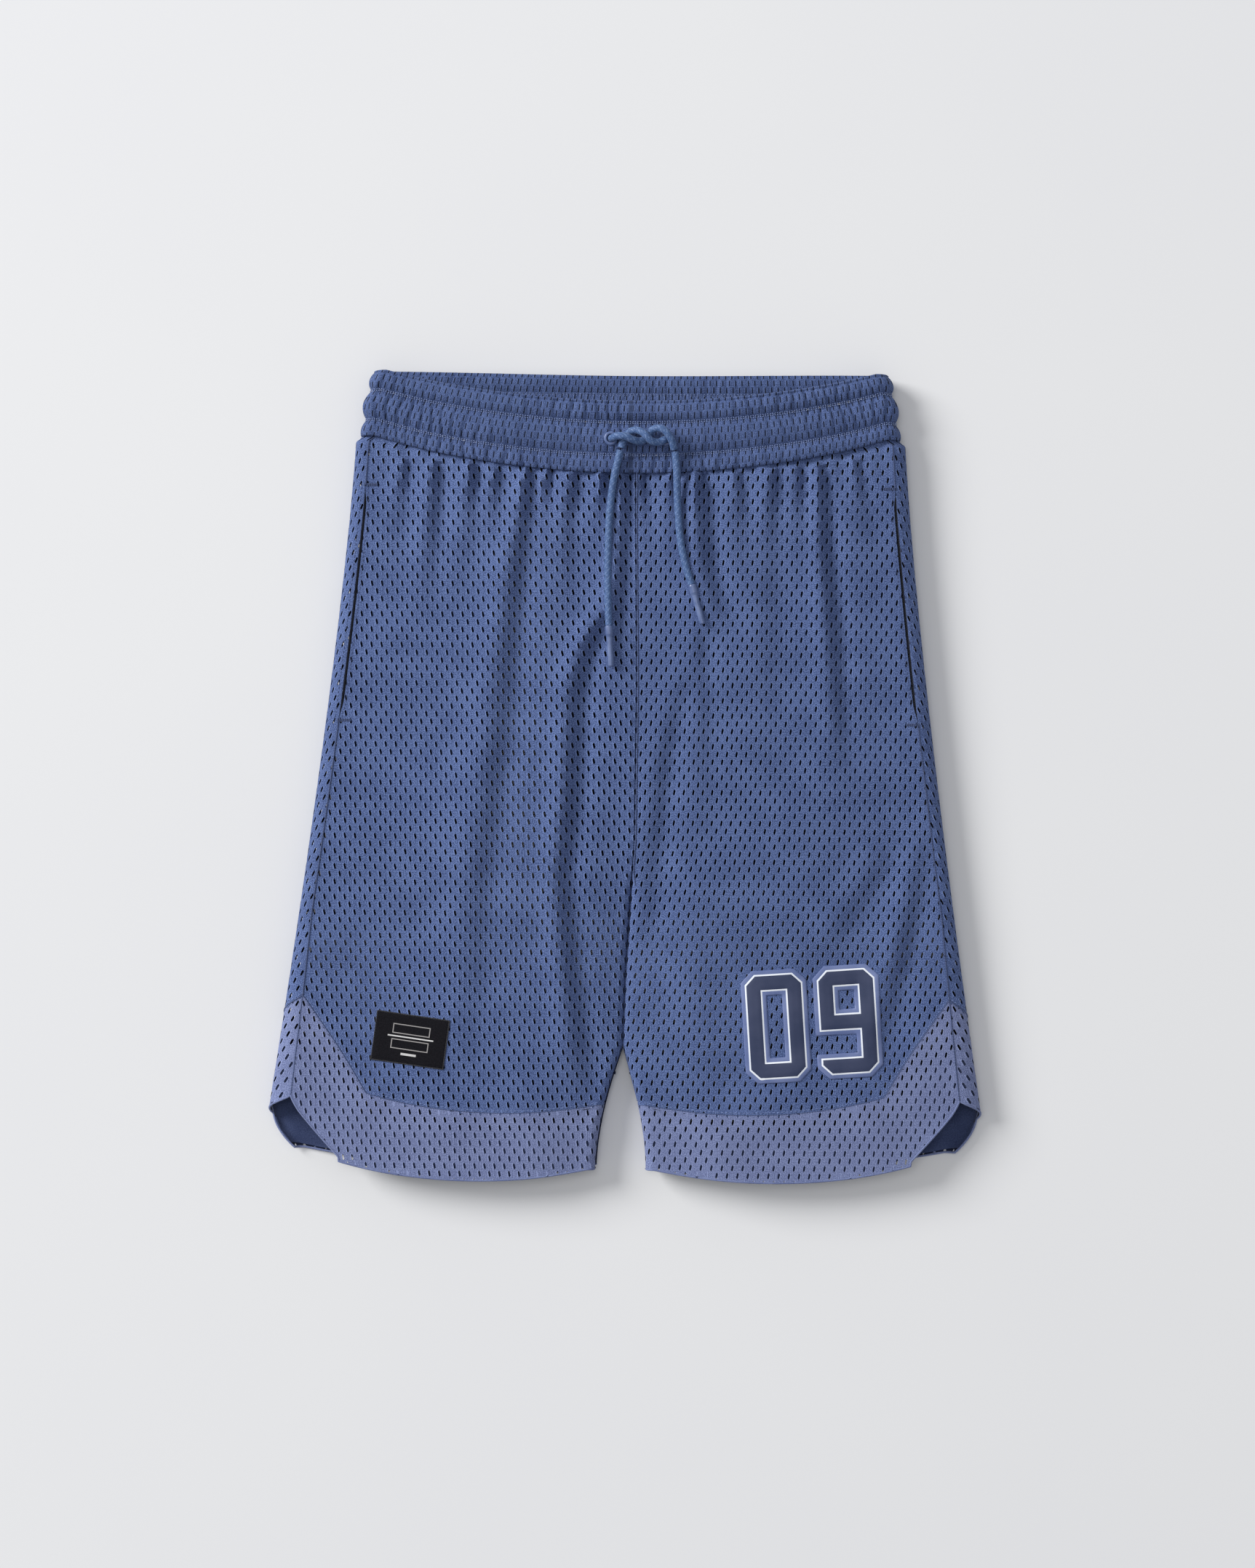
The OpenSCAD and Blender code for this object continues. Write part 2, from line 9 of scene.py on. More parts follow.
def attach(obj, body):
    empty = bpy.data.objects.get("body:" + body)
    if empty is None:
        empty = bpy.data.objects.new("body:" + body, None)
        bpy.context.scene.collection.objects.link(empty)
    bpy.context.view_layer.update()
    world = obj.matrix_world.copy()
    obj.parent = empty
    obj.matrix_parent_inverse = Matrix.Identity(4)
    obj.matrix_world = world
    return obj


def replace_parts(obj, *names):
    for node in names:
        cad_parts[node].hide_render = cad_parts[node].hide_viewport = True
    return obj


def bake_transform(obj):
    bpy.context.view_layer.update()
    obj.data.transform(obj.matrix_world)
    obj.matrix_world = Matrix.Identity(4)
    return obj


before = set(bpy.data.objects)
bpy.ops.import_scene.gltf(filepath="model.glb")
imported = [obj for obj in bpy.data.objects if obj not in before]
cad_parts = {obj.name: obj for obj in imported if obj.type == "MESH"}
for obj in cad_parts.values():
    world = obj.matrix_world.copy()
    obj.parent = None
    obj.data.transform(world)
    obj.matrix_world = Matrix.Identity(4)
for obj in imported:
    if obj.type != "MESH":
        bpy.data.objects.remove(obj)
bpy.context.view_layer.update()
MM = 0.001


# ---- Camera, floor and light

def look_down():
    """A long lens straight above."""
    data = bpy.data.cameras.new("camera")
    data.sensor_width = 36
    data.lens = 84.4
    camera = bpy.data.objects.new("camera", data)
    camera.location = (-0.0002, -0.00475, 2.42)
    camera.rotation_euler = (0, 0, math.radians(0.5))
    bpy.context.collection.objects.link(camera)
    bpy.context.scene.camera = camera


def soft_light(name, place, aim, size, power):
    data = bpy.data.lights.new(name, "AREA")
    data.shape = "DISK"
    data.size = size
    data.energy = power
    light = bpy.data.objects.new(name, data)
    light.location = place
    light.rotation_euler = (Vector(aim) - Vector(place)).to_track_quat("-Z", "Y").to_euler()
    bpy.context.collection.objects.link(light)


look_down()
soft_light("key", (-7.0, 3.9, 4.3), (0, 0, 0), 4.2, 830)
soft_light("top", (-0.6, 0.8, 6.0), (0, 0, 0), 3.0, 60)
world = bpy.data.worlds.new("studio")
world.use_nodes = True
world.node_tree.nodes["Background"].inputs["Color"].default_value = (0.93, 0.95, 1.0, 1)
world.node_tree.nodes["Background"].inputs["Strength"].default_value = 0.40
bpy.context.scene.world = world
bpy.context.scene.view_settings.view_transform = "Standard"


# ---- Materials

class Nodes:
    """A short way to write a node tree: each call adds a node and returns its output."""

    def __init__(self, tree):
        self.tree = tree

    def put(self, socket, value):
        if isinstance(value, bpy.types.NodeSocket):
            self.tree.links.new(value, socket)
        else:
            socket.default_value = value

    def add(self, kind, out=0, named=(), **values):
        """in_0, in_1 and so on are inputs by number, named holds inputs by name, and the rest are settings."""
        node = self.tree.nodes.new(kind)
        for key, value in values.items():
            if key.startswith("in_"):
                self.put(node.inputs[int(key[3:])], value)
            else:
                setattr(node, key, value)
        for title, value in dict(named).items():
            self.put(node.inputs[title], value)
        return node.outputs[out]

    def math(self, operation, a, b=0.0):
        return self.add("ShaderNodeMath", operation=operation, in_0=a, in_1=b)

    def plus(self, first, *others):
        for other in others:
            first = self.math("ADD", first, other)
        return first

    def less(self, a, b):
        return self.math("SUBTRACT", a, b)

    def times(self, a, b):
        return self.math("MULTIPLY", a, b)

    def size_of(self, a):
        return self.math("ABSOLUTE", a)

    def ramp(self, value, low, high, to_low=0.0, to_high=1.0):
        return self.add("ShaderNodeMapRange", interpolation_type="SMOOTHSTEP", in_0=value, in_1=low, in_2=high,
                        in_3=to_low, in_4=to_high)

    def blend(self, share, a, b):
        a, b = (c if isinstance(c, bpy.types.NodeSocket) else (*c, 1) for c in (a, b))
        return self.add("ShaderNodeMix", out=2, data_type="RGBA", in_0=share, in_6=a, in_7=b)

    def place(self):
        return self.add("ShaderNodeTexCoord", out=3)

    def weave(self):
        """Millimetres across and along the cloth: both together, and each alone."""
        mm = self.add("ShaderNodeVectorMath", operation="SCALE", in_0=self.add("ShaderNodeUVMap", uv_map="weave"),
                      named={"Scale": 1000})
        parts = self.add("ShaderNodeSeparateXYZ", in_0=mm)
        return mm, parts, parts.node.outputs[1]

    def noise(self, place, scale, detail=2, roughness=0.5, dimensions="3D"):
        return self.add("ShaderNodeTexNoise", in_0=place, noise_dimensions=dimensions,
                        named={"Scale": scale, "Detail": detail, "Roughness": roughness})

    def bands(self, place, direction, scale, distortion):
        return self.add("ShaderNodeTexWave", out=1, in_0=place, bands_direction=direction,
                        named={"Scale": scale, "Distortion": distortion})

    def done(self, colour, height=None, strength=0.5, depth=0.0003, rough=None):
        """Join the pattern to the shader, and hand over the material."""
        self.put(self.shader.inputs["Base Color"], colour)
        if rough is not None:
            self.put(self.shader.inputs["Roughness"], rough)
        if height is not None:
            bump = self.add("ShaderNodeBump", named={"Strength": strength, "Distance": depth, "Height": height})
            self.put(self.shader.inputs["Normal"], bump)
        return self.material


def finish(name, roughness, sheen=0.0, metallic=0.0, coat=0.0, specular=0.5):
    """The nodes of a new material, with a plain shader."""
    material = bpy.data.materials.new(name)
    material.use_nodes = True
    n = Nodes(material.node_tree)
    n.material, n.shader = material, material.node_tree.nodes["Principled BSDF"]
    for title, value in (("Roughness", roughness), ("Sheen Weight", sheen), ("Sheen Roughness", 0.45),
                         ("Metallic", metallic), ("Coat Weight", coat), ("Specular IOR Level", specular)):
        n.shader.inputs[title].default_value = value
    return n


PITCH, STEP = 6.6, 5.0          # spacing of the slits across, and of their rows, mm
COURSE, WALE = 0.95, 1.1        # spacing of the knitted loops down and across, mm


def knit(name, dark, light, slits, sheen):
    """Heathered knit, with a painted highlight on the right of each slit. slits is "open" where the slits are real
    holes and "closed" where they are drawn shut as dark ticks of painted shade.
    """
    n = finish(name, 0.85, sheen=sheen, specular=0.25)
    mm, u, v = n.weave()
    row = n.math("ROUND", n.math("DIVIDE", v, STEP))
    odd = n.math("FLOORED_MODULO", row, 2)
    across = n.less(u, n.times(odd, PITCH / 2))
    beside = n.less(across, n.times(n.math("ROUND", n.math("DIVIDE", across, PITCH)), PITCH))
    along = n.less(v, n.times(row, STEP))
    within = n.ramp(n.size_of(along), 2.3, 1.5)
    off = n.less(beside, n.times(along, 0.11))
    # fine knit: courses across, wales up, and the speckle of the mixed yarn
    course = n.math("SINE", n.times(v, 2 * math.pi / COURSE))
    wale = n.math("SINE", n.plus(n.times(u, 2 * math.pi / WALE), n.times(course, 0.9)))
    fleck = n.noise(mm, 1.5, roughness=0.7, dimensions="2D")
    cloud = n.noise(mm, 0.045, detail=3, dimensions="2D")
    shade = n.plus(n.ramp(fleck, 0.28, 0.72, -0.10, 1.05), n.times(course, 0.09), n.times(wale, 0.06),
                   n.ramp(cloud, 0.3, 0.7, -0.09, 0.09))
    colour = n.blend(n.math("MINIMUM", n.math("MAXIMUM", shade, 0.0), 1.0), dark, light)
    # lip is a raised rim on the right of each slit: the bump lifts it, and the colour is lightened there as a painted
    # highlight
    lip = n.times(within, n.times(n.ramp(off, 0.35, 0.7), n.ramp(off, 1.5, 0.95)))
    colour = n.blend(n.times(lip, 0.5), colour, tuple(min(1.0, c * 1.35 + 0.03) for c in light))
    height = n.plus(n.times(course, 0.16), n.times(wale, 0.14), n.times(fleck, 0.45), n.times(lip, 0.5))
    if slits == "closed":
        # a closed slit is sunk in the bump and drawn as a near-black tick of painted shade
        shut = n.times(within, n.ramp(n.size_of(off), 0.95, 0.4))
        colour = n.blend(n.times(shut, 0.9), colour, tuple(c * 0.16 for c in dark))
        height = n.less(height, n.times(shut, 1.3))
    return n.done(colour, height, 0.75, 0.0004)


def plain_knit(name, dark, light):
    n = finish(name, 0.9, sheen=0.15, specular=0.2)
    place = n.place()
    fleck = n.noise(place, 1400)
    shade = n.plus(n.times(fleck, 0.6), n.times(n.noise(place, 60), 0.5))
    colour = n.blend(n.ramp(shade, 0.35, 0.75), dark, light)
    return n.done(colour, n.plus(fleck, n.times(n.bands(place, "Y", 330, 1.5), 0.4)))


def thread_finish(name, dark, light, scale=900):
    n = finish(name, 0.55, sheen=0.2, specular=0.4)
    place = n.place()
    twist = n.bands(place, "DIAGONAL", scale, 2)
    shade = n.plus(n.times(twist, 0.4), n.times(n.noise(place, 300), 0.6))
    return n.done(n.blend(n.ramp(shade, 0.3, 0.75), dark, light), twist, 0.4, 0.0001)


def braid_finish(name):
    """Braided yarn, with a pale tick in every fourth strand, and painted shade darkening the grooves between strands.
    """
    n = finish(name, 0.6, sheen=0.1, specular=0.35)
    tick = n.add("ShaderNodeAttribute", out=2, attribute_name="tick")
    groove = n.add("ShaderNodeAttribute", out=2, attribute_name="groove")
    fuzz = n.noise(n.place(), 1800)
    colour = n.blend(n.ramp(fuzz, 0.3, 0.7), (0.038, 0.080, 0.200), (0.085, 0.160, 0.345))
    colour = n.blend(n.times(tick, 0.5), colour, (0.19, 0.28, 0.49))
    # painted shade: the low parts of the braid, between the strands, are darkened
    colour = n.blend(n.ramp(groove, 0.6, 0.0, 0.0, 0.85), colour, (0.014, 0.024, 0.070))
    return n.done(colour, fuzz, 0.3, 0.0001)


def enamel(name, dark, light, roughness, coat, scale):
    n = finish(name, roughness, coat=coat)
    n.shader.inputs["Coat Roughness"].default_value = 0.2
    mottle = n.noise(n.place(), scale, detail=4)
    rough = n.ramp(mottle, 0.3, 0.7, roughness - 0.08, roughness + 0.12)
    return n.done(n.blend(n.ramp(mottle, 0.35, 0.68), dark, light), mottle, 0.12, 0.0001, rough)


def steel(name):
    n = finish(name, 0.38, metallic=1.0)
    brush = n.noise(n.place(), 700)
    colour = n.blend(n.ramp(brush, 0.3, 0.7), (0.42, 0.42, 0.43), (0.62, 0.62, 0.63))
    return n.done(colour, brush, 0.15, 0.0001, n.ramp(brush, 0.3, 0.7, 0.3, 0.5))


def print_finish(name, dark, light, roughness):
    """Flexible transfer film with a faint pull of the knit under it."""
    n = finish(name, roughness, specular=0.4)
    place = n.place()
    grain = n.noise(place, 1600)
    shade = n.plus(n.times(n.noise(place, 45, detail=3), 0.8), n.times(grain, 0.2))
    rough = n.ramp(grain, 0.3, 0.7, roughness - 0.07, roughness + 0.07)
    return n.done(n.blend(n.ramp(shade, 0.35, 0.68), dark, light), grain, 0.25, 0.0001, rough)


def woven_patch_finish(name):
    """Black satin weave with a plain frame and bars in pale thread."""
    n = finish(name, 0.8, specular=0.12)
    mm, u, v = n.weave()
    per_mm = 2 * math.pi / 0.42
    weft = n.math("SINE", n.times(v, per_mm))
    warp = n.math("SINE", n.plus(n.times(u, per_mm), n.times(weft, 1.4)))
    both = n.plus(weft, warp)
    shade = n.plus(n.times(both, 0.16), n.noise(mm, 1.1, dimensions="2D"))
    colour = n.blend(n.ramp(shade, 0.2, 0.85), (0.004, 0.004, 0.006), (0.013, 0.012, 0.016))

    def bar(x0, x1, y0, y1):
        """How far outside the bar a point is, in mm."""
        dx = n.less(n.size_of(n.less(u, (x0 + x1) / 2)), (x1 - x0) / 2)
        dy = n.less(n.size_of(n.less(v, (y0 + y1) / 2)), (y1 - y0) / 2)
        return n.math("MAXIMUM", dx, dy)

    for box in ((-12, 12, 3.4, 9.2), (-12, 12, -6.6, -0.8)):
        line = n.ramp(n.size_of(bar(*box)), 0.42, 0.42 * 0.45)
        colour = n.blend(n.times(line, 0.85), colour, (0.42, 0.40, 0.39))
    colour = n.blend(n.ramp(bar(-15, 15, 0.9, 1.7), 0.2, -0.15), colour, (0.72, 0.71, 0.70))
    colour = n.blend(n.ramp(bar(-5, 5, -10.6, -9.2), 0.2, -0.15), colour, (0.66, 0.65, 0.64))
    return n.done(colour, both, 0.4, 0.00012)


def floor_finish():
    n = finish("backdrop", 0.9, specular=0.15)
    return n.done(n.blend(n.ramp(n.noise(n.place(), 3), 0.3, 0.7), (0.79, 0.79, 0.795), (0.80, 0.80, 0.80)))


mesh_cloth = knit("mesh_cloth", (0.033, 0.056, 0.155), (0.140, 0.202, 0.415), "open", 0.04)
band_cloth = knit("band_cloth", (0.105, 0.130, 0.265), (0.240, 0.285, 0.490), "open", 0.06)
waist_cloth = knit("waist_cloth", (0.026, 0.046, 0.130), (0.120, 0.176, 0.370), "closed", 0.04)
# near-black painted shade for the inner face and slit walls of the slit cloth, and for the discs behind the eyelets;
# it is darker than the knit really is
cloth_inside = plain_knit("cloth_inside", (0.004, 0.007, 0.022), (0.010, 0.016, 0.045))
facing_cloth = plain_knit("facing_cloth", (0.026, 0.038, 0.095), (0.054, 0.074, 0.160))
mesh_edge = plain_knit("mesh_edge", (0.060, 0.092, 0.220), (0.110, 0.158, 0.330))
band_edge = plain_knit("band_edge", (0.120, 0.148, 0.290), (0.200, 0.240, 0.420))
elastic_web = thread_finish("elastic_web", (0.60, 0.60, 0.58), (0.78, 0.78, 0.76), 260)
dark_thread = thread_finish("dark_thread", (0.030, 0.048, 0.125), (0.060, 0.092, 0.215))
pale_thread = thread_finish("pale_thread", (0.130, 0.185, 0.370), (0.270, 0.350, 0.610))
black_thread = thread_finish("black_thread", (0.010, 0.010, 0.013), (0.028, 0.027, 0.032))
cord_braid = braid_finish("cord_braid")
dipped_tip = enamel("dipped_tip", (0.080, 0.120, 0.260), (0.125, 0.175, 0.340), 0.42, 0.25, 160)
eyelet_enamel = enamel("eyelet_enamel", (0.060, 0.098, 0.240), (0.100, 0.150, 0.320), 0.45, 0.1, 420)
washer_steel = steel("washer_steel")
print_border = print_finish("print_border", (0.105, 0.145, 0.315), (0.165, 0.210, 0.400), 0.5)
print_white = print_finish("print_white", (0.74, 0.78, 0.85), (0.86, 0.89, 0.94), 0.5)
print_navy = print_finish("print_navy", (0.022, 0.034, 0.085), (0.040, 0.052, 0.110), 0.55)
patch_cloth = woven_patch_finish("patch_cloth")

floor_mesh = bpy.data.meshes.new("floor")
floor_mesh.from_pydata([(-6, -6, -0.001), (6, -6, -0.001), (6, 6, -0.001), (-6, 6, -0.001)], [], [(0, 1, 2, 3)])
floor = bpy.data.objects.new("floor", floor_mesh)
floor_mesh.materials.append(floor_finish())
bpy.context.collection.objects.link(floor)


# ---- The lie of the cloth, in millimetres

TOP, LOW = 264.5, -264.5                        # top of the waist and lowest hem
WAIST_HALF, SEAM_HALF, HEM_HALF = 169, 180, 233.5
CREST, FOLD_R, SWELL = 24, 9, 2.4               # height of the front, radius of the side fold, stand of the casing
SEAM_SIDE, SEAM_MID = 221.5, 198                # height of the waist seam at the side and in the middle
DIP = 19.5                                      # how far the front's top edge dips in the middle
CROTCH, PART, WIDE = -70, -174.5, -219.5         # heights of the crotch, the parting of the legs, the widest point
VENT, PEAK = -210, -144.5                       # top of the notch, and the hem band's peak at the side seam
POCKET_LOW, POCKET_TOP = 35.5, 189.5            # ends of the pocket's slit
CLOTH, FACING, LINING = 0.75, 0.5, 0.4          # thickness of the slit mesh, the facings and the pocket lining
CORNER = 0.75                                   # where the hem band turns up to its peak
ROWS = (0, 0.25, 0.70, 1)                       # rows of stitches up the waistband
CLOSURE = 5                                     # the fastening sits this far to one side of the middle
EYELET = (18, SEAM_MID + 22.325)                # each eyelet's distance from the fastening's middle, and its height
BAND_TOP = CREST + SWELL
TUCK = 1.7                                      # how deep the rows of stitches and the waist seam sink


def mix(a, b, t):
    return a + (b - a) * t


def share(t):
    return np.clip(t, 0, 1)


def smooth(t):
    c = share(t)
    return c * c * (3 - 2 * c)


def half_width(y):
    """From the middle to the side of the laid garment."""
    low = np.maximum((SEAM_SIDE - y) / (SEAM_SIDE - WIDE), 0)
    return np.where(y > SEAM_SIDE, mix(SEAM_HALF, WAIST_HALF, (y - SEAM_SIDE) / 43),
                    SEAM_HALF + (HEM_HALF - SEAM_HALF) * np.minimum(low, 1) ** 1.25)


def corner_in(y):
    """How far the back's lower corner is rounded in."""
    return 13.5 * (share((WIDE - y) / 30) * 1.2) ** 2


def inner_x(y):
    """From the middle to the inner edge of the leg."""
    return 0.05 + 17 * np.sin(np.radians(90 * share((PART - 1 - y) / 85)))


def joined(y):
    """0 where the two halves are one cloth, and 1 down the leg, where the front is joined to the back."""
    return smooth((CROTCH + 10 - y) / 15)


def inner_r(y):
    """Radius of the fold there."""
    return mix(1.4, 5, joined(y))


def crest_z(y):
    """Height of the front where it lies highest, lower towards the hem."""
    return mix(CREST, CREST - 4, smooth((-40 - y) / 220))


def inner_z(y):
    """Height of the front at its inner edge."""
    return mix(CREST, 16, smooth((60 - y) / 220))


def front_z(x, y):
    out = half_width(y) - FOLD_R
    level = 0.45 * out
    fall = (crest_z(y) - 2 * FOLD_R) * smooth((x - level) / (out - level))
    dip = (crest_z(y) - inner_z(y)) * (1 - smooth((x - inner_x(y) - inner_r(y)) / 45))
    return crest_z(y) - fall - np.maximum(0, dip)


def skin(s, y):
    """Place and outward direction of the outer face: s from -1 at the front's inner edge, 1 at the side seam,
    3 at the back's inner fold, to 4 at the back's inner edge."""
    s, y = np.broadcast_arrays(np.asarray(s, float), np.asarray(y, float))
    half, r, ix, iz = half_width(y), inner_r(y), inner_x(y), inner_z(y)
    front_edge = mix(iz - r - 1, 8.05, joined(y))
    back_edge = mix(r + 1, 7.95, joined(y))
    a0 = np.radians(90 - 180 * s)
    xf = mix(ix + r, half - FOLD_R, s)
    slope = front_z(xf - 0.5, y) - front_z(xf + 0.5, y)
    long = np.sqrt(slope ** 2 + 1)
    a1 = np.radians(270 - 180 * s)
    mid = half - corner_in(y) - FOLD_R
    a2 = np.radians(-90 - 180 * (s - 3))
    zero, one = np.zeros_like(y), np.ones_like(y)
    parts = [
        (s < -0.5, ix, mix(iz - r, front_edge, -2 * s - 1), -one, zero),
        (s < 0, ix + r + r * np.cos(a0), iz - r + r * np.sin(a0), np.cos(a0), np.sin(a0)),
        (s <= 1, xf, front_z(xf, y), slope / long, 1 / long),
        (s <= 2, mid + FOLD_R * np.cos(a1), FOLD_R + FOLD_R * np.sin(a1), np.cos(a1), np.sin(a1)),
        (s <= 3, mix(mid, ix + r, s - 2), zero, zero, -one),
        (s <= 3.5, ix + r + r * np.cos(a2), r + r * np.sin(a2), np.cos(a2), np.sin(a2)),
        (s > 3.5, ix, mix(r, back_edge, 2 * s - 7), -one, zero),
    ]
    tests = [p[0] for p in parts]
    return [np.select(tests, [p[i] for p in parts]) for i in (1, 2, 3, 4)]


# Creases of the front: points of x, y, height in mm and half width, from the top down.
# A step falls to the right across its line; a groove is a plain dip.
STEPS = [
    [(-146, 206, 0.9, 2.2), (-148, 190, 0.8, 4), (-152, 150, 0.3, 8), (-153, 130, 0, 9)],
    [(-86, 202, 0.9, 2.2), (-88, 186, 0.8, 4), (-92, 150, 0.5, 8), (-95, 110, 0, 9)],
    [(-53, 200, 1.0, 2.0), (-55, 184, 0.8, 4), (-57, 150, 0.4, 7), (-58, 120, 0, 9)],
    [(-17, 198, 1.2, 2.0), (-18, 184, 0.9, 3.5), (-19, 160, 0.4, 6), (-20, 140, 0, 8)],
    [(8, 198, 1.2, 2.0), (9, 184, 1.0, 3.5), (11, 150, 0.6, 6), (13, 110, 0, 8)],
    [(28, 198, 0.9, 2.2), (29, 184, 0.7, 4), (31, 150, 0.4, 7), (32, 120, 0, 9)],
    [(70, 199, 1.0, 2.2), (72, 184, 0.8, 4), (75, 150, 0.5, 8), (77, 100, 0, 9)],
    [(110, 203, 0.9, 2.2), (111, 186, 0.7, 4), (113, 150, 0.3, 8), (114, 120, 0, 9)],
    [(148, 208, 0.9, 2.4), (151, 190, 0.7, 4), (156, 150, 0.3, 8), (158, 120, 0, 9)],
    [(-127, 204, 1.2, 2.2), (-127, 190, 1.2, 4), (-128, 170, 1.4, 5), (-131, 120, 0.8, 7), (-133, 90, 0, 9)],
    [(-103, 203, 1.3, 2.2), (-103, 188, 1.1, 4), (-104, 165, 0.9, 6), (-113, 120, 0.5, 8), (-116, 90, 0, 9)],
    [(-67, 200, 1.3, 2.2), (-67, 190, 1.7, 3.2), (-68, 175, 2.0, 4.5),
     (-72.5, 145, 2.1, 6), (-77, 95, 1.9, 7.5), (-82, 42, 1.7, 9), (-89, -15, 1.7, 9), (-95, -63, 1.4, 9),
     (-98, -110, 1.0, 9), (-101, -158, 0.6, 9), (-103, -190, 0.2, 10)],
    [(-36, 199, 1.2, 2.2), (-37, 186, 1.1, 4), (-40, 168, 1.0, 5), (-40, 130, 0.7, 6), (-40, 100, 0, 7)],
    [(-3, 198, 1.2, 2.2), (-3, 186, 1.7, 3.2), (-3, 175, 2.0, 4), (-5.5, 130, 2.2, 4.5), (-9, 108, 1.5, 5),
     (-12, 90, 0, 6)],
    [(-15, 112, 0, 5), (-21, 98, 2.0, 5), (-29, 77, 2.3, 5.5), (-34, 55, 2.2, 6), (-37, -15, 2.3, 6),
     (-42, -63, 2.0, 6), (-38, -110, 1.8, 6), (-32, -158, 1.6, 6.5), (-27, -196, 0.8, 7), (-24, -220, 0.2, 8)],
    [(46, 199, 1.4, 2.4), (46, 186, 1.9, 4), (48, 168, 2.4, 5), (51, 138, 2.2, 6), (58, 112, 1.2, 7), (66, 92, 0, 8)],
    [(44, 104, 0, 4), (47, 88, 0.8, 5), (49, 30, 0.6, 6), (51, -40, 0.2, 7)],
    [(94, 202, 1.2, 2.4), (94, 186, 1.1, 4), (93, 150, 0.8, 7), (91, 60, 0.4, 9), (91, 0, 0.3, 10), (90, -40, 0, 10)],
    [(124, 204, 1.3, 2.4), (125, 190, 1.6, 3.4), (126, 180, 1.8, 4), (128, 145, 2.2, 4.5), (134, 90, 1.8, 5.5),
     (138, 33, 1.1, 6), (141, 5, 0.4, 8), (143, -20, 0, 9)],
    [(37, 80, 0, 6), (35, 60, 0.8, 6), (25, 18, 1.1, 6.5), (19, -34, 1.2, 6.5), (15, -87, 0.9, 7), (12, -120, 0, 8)],
    [(198, -20, 0, 6), (195, -42, 1.0, 6), (190, -75, 1.6, 6.5), (180, -120, 1.5, 7), (169, -165, 0.8, 8),
     (162, -190, 0, 9)],
    [(168, -40, 0, 7), (164, -60, 0.7, 8), (142, -98, 0.7, 9), (128, -125, 0, 10)],
]
GROOVES = [
    [(-198, -78, 0, 8), (-180, -104, 0.9, 10), (-150, -118, 1.0, 10), (-125, -128, 0, 10)],
    [(2, -50, 0, 6), (0, -90, 1.3, 6), (-2, -177, 1.8, 7), (-2, -200, 0.5, 8)],
    [(30, -196, 0.4, 8), (60, -203, 0.8, 8), (90, -200, 0.3, 8)],
]


def crease(points, x, y, across):
    """One crease's height over the cloth at x, y. It runs down the leg, or across it where across is set."""
    p = np.array(points, float)
    if across:
        order = np.argsort(p[:, 0])
        run, line, t, c = x, p[order, 1], p[order, 0], y
    else:
        order = np.argsort(p[:, 1])
        run, line, t, c = y, p[order, 0], p[order, 1], x
    tall = np.interp(run, t, p[order, 2], left=0, right=0)
    wide = np.interp(run, t, p[order, 3])
    return (c - np.interp(run, t, line)) / wide, tall


def rumple(x, y):
    """How far the front cloth stands off its even lie."""
    h = np.zeros_like(x)
    for points in STEPS:
        d, tall = crease(points, x, y, False)
        h += 1.5 * tall * (1 + 0.5 * smooth((y - 165) / 30)) * (
            -d * 1.65 * np.exp(-np.where(d < 0, 0.32, 0.5) * d * d))
    for points in GROOVES:
        d, tall = crease(points, x, y, abs(points[0][0] - points[-1][0]) > abs(points[0][1] - points[-1][1]))
        h -= tall * np.exp(-0.5 * d * d)
    # small tucks where the cloth is gathered into the waist seam
    below = np.maximum(waist_seam(np.abs(x) / 171) - y, 0)
    h += 0.7 * np.sin(x * 0.53 + 1.1 * np.sin(x * 0.11)) * np.exp(-below / 12)
    h += 0.5 * np.sin(x * 0.29 + 2 + 0.9 * np.sin(x * 0.07)) * np.exp(-below / 38)
    # slow waves of cloth that isn't pressed
    h += 0.55 * np.sin(x * 0.047 + y * 0.021 + 0.6) * np.sin(y * 0.033 - x * 0.012 + 1.9)
    h += 0.28 * np.sin(x * 0.102 - y * 0.035 + 2.3) * np.sin(y * 0.071 + x * 0.031)
    return h


def lean(x, y):
    """The middle seam drifts a little to one side down the front."""
    drift = np.interp(y, [-265, -200, -130, -75, -40, 60, 198, 225], [-3, -2.6, -0.6, 2.6, 4.6, 5.2, 3.2, 0])
    return drift * np.exp(-(x / 62) ** 2)


def fold_x(y):
    """From the middle to where the side fold starts."""
    return float(half_width(np.array(y))) - FOLD_R


def drape(s, y, side, depth=0.0):
    """Points of the garment in millimetres, depth under the outer face."""
    x, z, nx, nz = skin(s, y)
    x, z = side * (x - nx * depth), z - nz * depth
    front = smooth((1.12 - s) / 0.3) * smooth((s + 0.75) / 0.6)
    hold = mix(0.3, 1, smooth((y - LOW - 2) / 30))
    # the side is drawn in a little towards the hem, and where the waistband holds it
    inwards = np.interp(y, [-265, -210, -144, -90], [5.5, 4.7, 2.2, 0])
    x = x - side * inwards * np.where(s <= 1, smooth((s - 0.6) / 0.4), 1 - smooth((s - 1) / 0.45))
    x = x - side * 4 * smooth((s - 0.7) / 0.3) * smooth((2.5 - s) / 0.4) * smooth((y - waist_seam(s) + 4) / 4)
    x = x + lean(x, y) * np.where(s < 1.5, 1, 0.5)
    rise = rumple(x, y) * front * hold
    rise -= TUCK * smooth((y - waist_seam(s) + 6) / 6) * smooth((1.6 - s) / 0.4) * smooth((s + 0.4) / 0.2)
    under = 0.5 * smooth((s - 2) / 0.1) * smooth((3 - s) / 0.2) * (1 + np.sin(x * 0.09 + y * 0.05)) * 0.5
    return np.stack([x, np.broadcast_to(y, x.shape), z + rise + under], -1)


